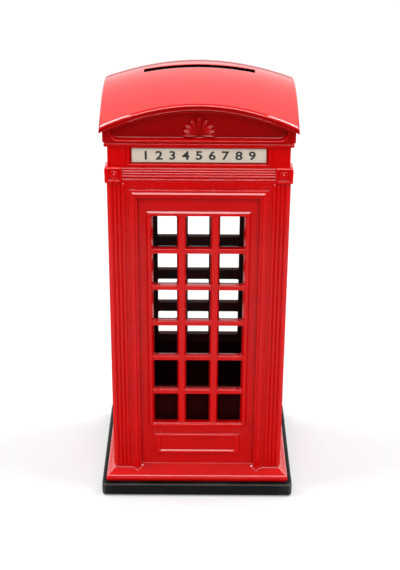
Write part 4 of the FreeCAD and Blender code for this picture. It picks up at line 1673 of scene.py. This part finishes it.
@dataclass
class Fixings:
    """Screws and rubber feet under the base."""

    head_radius: float = 2.5
    head_height: float = 1.4
    cross: float = 1.25

    def screw(self) -> bpy.types.Object:
        """A pan head seen from below, with a cross recess, its seat at z = 0 and its top at -height.

        Returns:
            The prototype.
        """
        steps = 48
        angle = np.linspace(0, 2 * math.pi, steps, endpoint=False)
        turn = np.abs(((angle / (math.pi / 2)) % 1.0) - 0.5) * 2
        arms = self.cross * (0.34 + 0.66 * np.clip((turn - 0.62) / 0.3, 0, 1))
        head, tip = self.head_radius, -self.head_height
        outline = ((1.2, 6.0), (1.2, 0.0), (head, 0.0), (head, -0.45), (head * 0.94, -0.9),
                   (head * 0.8, -1.22), (head * 0.6, tip))
        rings = [(np.full(steps, radius), height) for radius, height in outline]
        rings += [(arms, tip + 0.02), (arms * 0.92, tip + 0.1), (arms * 0.6, -0.7)]
        loops = [np.column_stack([r * np.cos(angle), r * np.sin(angle), np.full(steps, z)]) for r, z in rings]
        return ring_loft("screw_prototype", loops, (Finish.STEEL,))

    def foot(self, radius: float, height: float) -> bpy.types.Object:
        """A rubber foot with a rounded rim and a shallow cup in its face, its top at z = 0.

        Args:
            radius: the foot's radius.
            height: its height.

        Returns:
            The prototype.
        """
        profile = ((1.0, 0.0), (1.0, -height * 0.25), (0.985, -height * 0.7), (0.95, 0.18 - height),
                   (0.88, 0.03 - height), (0.8, -height), (0.62, -height), (0.56, 0.06 - height),
                   (0.5, 0.22 - height), (0.2, 0.26 - height))
        turned = tuple((radius * share, up) for share, up in profile)
        return turned_object("foot_prototype", turned, Finish.RUBBER, 56)

    def build(self, scatter: Scatter) -> list[bpy.types.Object]:
        """Make the screws and the feet, each kind as one piece.

        Args:
            scatter: the tree that spreads the prototypes.

        Returns:
            The screws and the feet.
        """
        low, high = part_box("foot_" + CORNERS[-1])
        seat, radius = high.z / MM, (high.x - low.x) / 2 / MM
        turns = [(0.0, 0.0, math.radians(23 + 31 * number)) for number in range(len(CORNERS))]
        places = [np.array([*plan_middle("tie_post_" + corner), seat]) for corner in CORNERS]
        screws = scatter.spread("base_screw_set", self.screw(), Finish.STEEL, places, turns)
        places = [np.array([*plan_middle("foot_" + corner), seat]) for corner in CORNERS]
        pads = scatter.spread("rubber_feet", self.foot(radius, seat), Finish.RUBBER, places, turns)
        return [attach(screws, "booth", "screw_steel", "base_screws"),
                attach(pads, "booth", "foot_rubber", *("foot_" + corner for corner in CORNERS))]


# ---- signs ----------------------------------------------------------------------------------

@dataclass
class SignPlate:
    """A cream plate in its recess with a row of nine printed numerals."""

    wall: WallCasting
    inset: float = 7.25
    span: tuple[float, float] = (116.3, 120.8)
    depth: float = 1.3
    thickness: float = 0.8
    corner: float = 0.35
    bevel: float = 0.14
    numerals: str = "123456789"
    cap_height: float = 2.7
    widen: float = 1.22
    margin: float = 0.105
    fullest: float = 0.66
    lift: float = 0.025
    ink: float = 0.02

    def plate(self) -> bpy.types.Object:
        """The plate with its softened edges.

        Returns:
            The plate.
        """
        half = self.wall.half_span - self.inset
        middle = sum(self.span) / 2
        half_up = (self.span[1] - self.span[0]) / 2
        top = self.thickness - self.depth
        rings = []
        for shrink, out in ((0.0, -self.depth), (0.0, top - self.bevel), (0.04, top - 0.05),
                            (self.bevel, top), (self.bevel + 0.2, top)):
            ring = rounded_rectangle(half - shrink, half_up - shrink, self.corner - shrink * 0.3, 0.0, 5, 10)
            rings.append(self.wall.world(ring[:, 0], np.full(len(ring), out), ring[:, 1] + middle))
        name = self.wall.node.replace("panel", "name_plate")
        made = ring_loft(name, rings, (Finish.SIGN,))
        return attach(made, "booth", "sign_cream", self.wall.node.replace("panel", "sign"))

    def glyph(self, numeral: str) -> bpy.types.Mesh:
        """One numeral as a thin shape in XY, of any size.

        Args:
            numeral: the numeral.

        Returns:
            Its mesh.
        """
        text = bpy.data.curves.new("numeral", "FONT")
        text.body = numeral
        text.align_x = "CENTER"
        text.size = 1.0
        text.resolution_u = 6
        text.offset = 0.024
        text.extrude = 0.012
        holder = linked("numeral", text)
        bpy.context.view_layer.update()
        shape = bpy.data.meshes.new_from_object(holder.evaluated_get(bpy.context.evaluated_depsgraph_get()))
        bpy.data.objects.remove(holder)
        return shape

    def numbers(self) -> bpy.types.Object:
        """The numerals, as thin printed shapes a hair above the plate.

        Returns:
            The numerals of this sign.
        """
        half = self.wall.half_span - self.inset
        step = 2 * half * (1 - self.margin * 2) / (len(self.numerals) - 1)
        joined = bmesh.new()
        for place, numeral in enumerate(self.numerals):
            shape = self.glyph(numeral)
            spots = np.array([vertex.co for vertex in shape.vertices])
            tall = spots[:, 1].max() - spots[:, 1].min()
            narrow = min(self.widen, self.fullest * step / (self.cap_height / tall * np.ptp(spots[:, 0])))
            scale = self.cap_height / tall * narrow
            x = (spots[:, 0] - (spots[:, 0].max() + spots[:, 0].min()) / 2) * scale
            z = (spots[:, 1] - (spots[:, 1].max() + spots[:, 1].min()) / 2) * self.cap_height / tall
            across = x + (place - (len(self.numerals) - 1) / 2) * step
            out = self.thickness - self.depth + self.lift + np.where(spots[:, 2] > 0, self.ink, -self.ink)
            world = self.wall.world(across, out, z + sum(self.span) / 2) * MM
            shape.vertices.foreach_set("co", world.ravel())
            joined.from_mesh(shape)
            bpy.data.meshes.remove(shape)
        bmesh.ops.remove_doubles(joined, verts=joined.verts, dist=1e-7)
        bmesh.ops.recalc_face_normals(joined, faces=joined.faces)
        mesh = bpy.data.meshes.new("numerals")
        joined.to_mesh(mesh)
        joined.free()
        mesh.materials.clear()
        mesh.materials.append(PAINT.take(Finish.INK))
        return attach(linked(self.wall.node.replace("panel", "numerals"), mesh), "booth", "sign_cream")

    def build(self) -> list[bpy.types.Object]:
        """Make the plate and its numerals."""
        return [self.plate(), self.numbers()]


# ---- base, liner, plug ----------------------------------------------------------------------

@dataclass
class Base:
    """The black plastic base: plinth with a soft top edge, hollow below, and a rim for the walls."""

    corner: float = 1.4
    wall: float = 1.8
    plate: float = 2.0
    rim_half: tuple[float, float] = (23.35, 18.1)
    rim_wall: float = 1.2
    rim_height: float = 2.4
    bore: float = 13.0

    def build(self) -> bpy.types.Object:
        """Make the base in place of its CAD node.

        Returns:
            The base.
        """
        low, high = (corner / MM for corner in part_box("base_tray"))
        half_x, half_y = high.x, high.y
        foot = low.z
        top = high.z - self.rim_height
        under = top - self.plate
        outline = ((self.wall, under), (self.wall - 0.05, foot + 0.3), (self.wall - 0.2, foot + 0.06),
                   (self.wall - 0.4, foot), (0.45, foot), (0.2, foot + 0.04), (0.06, foot + 0.16),
                   (0.0, foot + 0.4), (0.0, foot + 0.5), (0.0, top - 0.55), (0.0, top - 0.45),
                   (0.04, top - 0.26), (0.13, top - 0.11), (0.26, top - 0.03), (0.42, top), (1.05, top))
        rings = [rounded_rectangle(half_x - inset, half_y - inset, self.corner, up) for inset, up in outline]
        rim_top, inner = top + self.rim_height, self.rim_wall
        rim = ((0.0, top, 0.8), (0.0, rim_top - 0.2, 0.8), (0.2, rim_top, 0.7),
               (inner - 0.2, rim_top, 0.4), (inner, rim_top - 0.2, 0.3), (inner, top, 0.3))
        for inset, up, radius in rim:
            rings.append(rounded_rectangle(self.rim_half[0] - inset, self.rim_half[1] - inset, radius, up))
        for radius, up in ((self.bore + 0.3, top), (self.bore, top - 0.25), (self.bore, under + 0.25),
                           (self.bore + 0.25, under)):
            rings.append(circle_like(rings[0], radius, up))
        made = ring_loft("base_plinth", rings, (Finish.BASE,), True)
        return attach(made, "booth", "base_plastic", "base_tray")


@dataclass
class Liner:
    """The cross-shaped sleeve that keeps the coins in the foot of the kiosk."""

    wall: float = 1.2
    soften: float = 0.3
    softer: float = 0.09
    corner: float = 0.35
    arm: tuple[float, float] = (16.7, 11.45)

    def cross(self, inset: float, up: float, long: tuple[float, float]) -> Points:
        """A level ring in the shape of a broad cross.

        Args:
            inset: how far inside the outer face it lies.
            up: its height.
            long: half reach of both arms.

        Returns:
            Its points.
        """
        far_x, far_y = long[0] - inset, long[1] - inset
        near_x, near_y = self.arm[0] - inset, self.arm[1] - inset
        quarter = [(far_x, 0.0), (far_x, near_y), (near_x, near_y), (near_x, far_y), (0.0, far_y)]
        path = quarter + [(-x, y) for x, y in quarter[-2::-1]]
        path += [(x, -y) for x, y in path[-2:0:-1]]
        ring = []
        for place, (x, y) in enumerate(path):
            before, after = np.array(path[place - 1]), np.array(path[(place + 1) % len(path)])
            here = np.array([x, y])
            for other in (before, after):
                way = other - here
                ring.append(here + way / np.linalg.norm(way) * self.corner)
        flat = np.array(ring)
        return np.column_stack([flat, np.full(len(flat), up)])

    def build(self) -> bpy.types.Object:
        """Make the liner in place of its CAD node.

        Returns:
            The liner.
        """
        low, high = (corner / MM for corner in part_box("coin_liner"))
        long = (high.x, high.y)
        wall, top, soften, softer = self.wall, high.z, self.soften, self.softer
        steps = ((0.0, low.z), (0.0, top - soften), (softer, top - softer), (soften, top),
                 (wall - soften, top), (wall - softer, top - softer), (wall, top - soften), (wall, low.z))
        rings = [self.cross(inset, up, long) for inset, up in steps]
        made = ring_loft("coin_sleeve", rings, (Finish.LINER,), True)
        return attach(made, "booth", "liner_plastic", "coin_liner")


@dataclass
class Plug:
    """The rubber plug that shuts the base: flange, hollow spigot with a bead, and a pull tab."""

    flange: float = 1.1
    tab_half: tuple[float, float] = (5.5, 0.8)
    tab_height: float = 0.9
    wall: float = 1.6
    lip: float = 2.1
    pin: float = 0.02

    def build(self) -> bpy.types.Object:
        """Make the plug in place of its CAD node, on its own body.

        Returns:
            The plug.
        """
        low, high = (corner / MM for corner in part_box("coin_plug"))
        outer = high.x
        spigot = outer - self.lip
        bore, pin = spigot - self.wall, self.pin
        seat = low.z + self.tab_height
        floor = seat + self.flange
        top = high.z
        profile = ((pin, seat), (outer * 0.5, seat), (outer * 0.74, seat + 0.02), (outer * 0.77, seat + 0.14),
                   (outer * 0.80, seat + 0.02), (outer - 0.5, seat), (outer - 0.16, seat + 0.12),
                   (outer, seat + 0.4), (outer, floor - 0.2), (outer - 0.2, floor), (spigot + 0.02, floor),
                   (spigot - 0.12, floor + 0.25), (spigot - 0.12, top - 1.5), (spigot, top - 1.2),
                   (spigot, top - 0.7), (spigot - 0.5, top), (bore + 0.3, top), (bore, top - 0.3),
                   (bore, floor + 1.0), (bore - 0.3, floor + 0.8), (pin, floor + 0.8))
        tab = []
        for shrink, up in ((0.0, seat + 0.5), (0.0, low.z + 0.25), (0.08, low.z + 0.08), (0.26, low.z)):
            half_x, half_y = (half - shrink for half in self.tab_half)
            tab.append(rounded_rectangle(half_x, half_y, 0.45, up, 5, 6))
        points, faces = merged(turned_parts(profile, (0.0, 0.0), 96), loft_parts(tab))
        made = closed_object("rubber_plug", points, faces, (Finish.RUBBER,))
        return attach(made, "plug", "plug_rubber", "coin_plug")


def dress_posts() -> None:
    """Give the four tie posts their plated finish; their CAD shape stays."""
    for corner in CORNERS:
        post = frame["nodes"]["tie_post_" + corner]
        post.data.materials.clear()
        post.data.materials.append(PAINT.take(Finish.STEEL))
        log.info("%s: plated", post.name)


# ---- studio ---------------------------------------------------------------------------------

@dataclass
class Studio:
    """Pale floor, soft light and the camera."""

    stand: tuple[float, float, float] = (0.0, -0.3696, 0.2405)
    pitch: float = 25.3
    roll: float = 0.39
    yaw: float = 0.093
    lens: float = 77.9
    floor_half: float = 12.0
    aim: tuple[float, float, float] = (0.0, 0.0, 0.07)
    lamps: tuple[tuple[str, tuple[float, float, float], tuple[float, float], float], ...] = (
        ("key_light", (0.0, -0.85, 1.05), (1.1, 0.5), 7.7),
        ("back_light", (0.0, 1.34, 1.06), (3.4, 2.1), 21.0),
        ("left_light", (-1.0, 0.0, 1.3), (0.9, 0.7), 17.5),
        ("right_light", (1.0, 0.0, 1.3), (0.9, 0.7), 17.5))
    sky: tuple[float, float, float, float] = (0.95, 0.95, 0.95, 1.0)
    sky_strength: float = 0.16

    def camera(self) -> None:
        """Stand the camera in front, above the roof line."""
        data = bpy.data.cameras.new("camera")
        data.lens = self.lens
        data.sensor_width = 36.0
        data.sensor_fit = "AUTO"
        data.clip_start = 0.01
        data.dof.use_dof = False
        eye = linked("camera", data)
        eye.location = self.stand
        aim = Euler((math.radians(90 - self.pitch), 0.0, math.radians(-self.yaw))).to_matrix()
        aim = aim @ Matrix.Rotation(math.radians(self.roll), 3, "Z")
        eye.rotation_euler = aim.to_euler()
        bpy.context.scene.camera = eye

    def floor(self) -> None:
        """Lay the sheet."""
        mesh = bpy.data.meshes.new("floor")
        half = self.floor_half
        corners = [(-half, -half, 0), (half, -half, 0), (half, half, 0), (-half, half, 0)]
        mesh.from_pydata(corners, [], [(0, 1, 2, 3)])
        mesh.materials.append(PAINT.take(Finish.FLOOR))
        sheet = linked("floor", mesh)

    def softbox(self, name: str, place: Sequence[float], size: tuple[float, float], power: float) -> None:
        """Hang one soft light that looks at the object.

        Args:
            name: its name.
            place: where it hangs, in metres.
            size: its width and height.
            power: in watts.
        """
        data = bpy.data.lights.new(name, "AREA")
        data.shape = "RECTANGLE"
        data.size, data.size_y = size
        data.energy = power
        lamp = linked(name, data)
        lamp.location = place
        lamp.rotation_euler = (Vector(place) - Vector(self.aim)).to_track_quat("Z", "Y").to_euler()
        lamp.visible_camera = False

    def build(self) -> None:
        """Set up everything round the object."""
        self.camera()
        self.floor()
        for lamp in self.lamps:
            self.softbox(*lamp)
        world = bpy.data.worlds.new("studio")
        world.use_nodes = True
        background = world.node_tree.nodes["Background"]
        background.inputs["Color"].default_value = self.sky
        background.inputs["Strength"].default_value = self.sky_strength
        bpy.context.scene.world = world
        bpy.context.scene.view_settings.view_transform = "Standard"


def main() -> None:
    """Build every piece in order."""
    logging.basicConfig(level=logging.INFO, format="%(message)s")
    Studio().build()
    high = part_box("base_tray")[1] / MM
    ledge = BASE_LEDGE + SKIRT_REACH
    half_x, half_y = high.x - ledge, high.y - ledge
    walls = [WallCasting("front_panel", half_x, half_y, 0.0, red_before_shade=0.7),
             WallCasting("right_panel", half_y, half_x, 90.0),
             WallCasting("back_panel", half_x, half_y, 180.0, head_taper=2.0),
             WallCasting("left_panel", half_y, half_x, 270.0)]
    for wall in walls:
        wall.build()
        SignPlate(wall).build()
    RoofCasting().build()
    scatter = Scatter("scatter")
    Ornaments(walls).build(scatter)
    Fixings().build(scatter)
    Base().build()
    Liner().build()
    Plug().build()
    dress_posts()


if __name__ == "__main__":
    main()
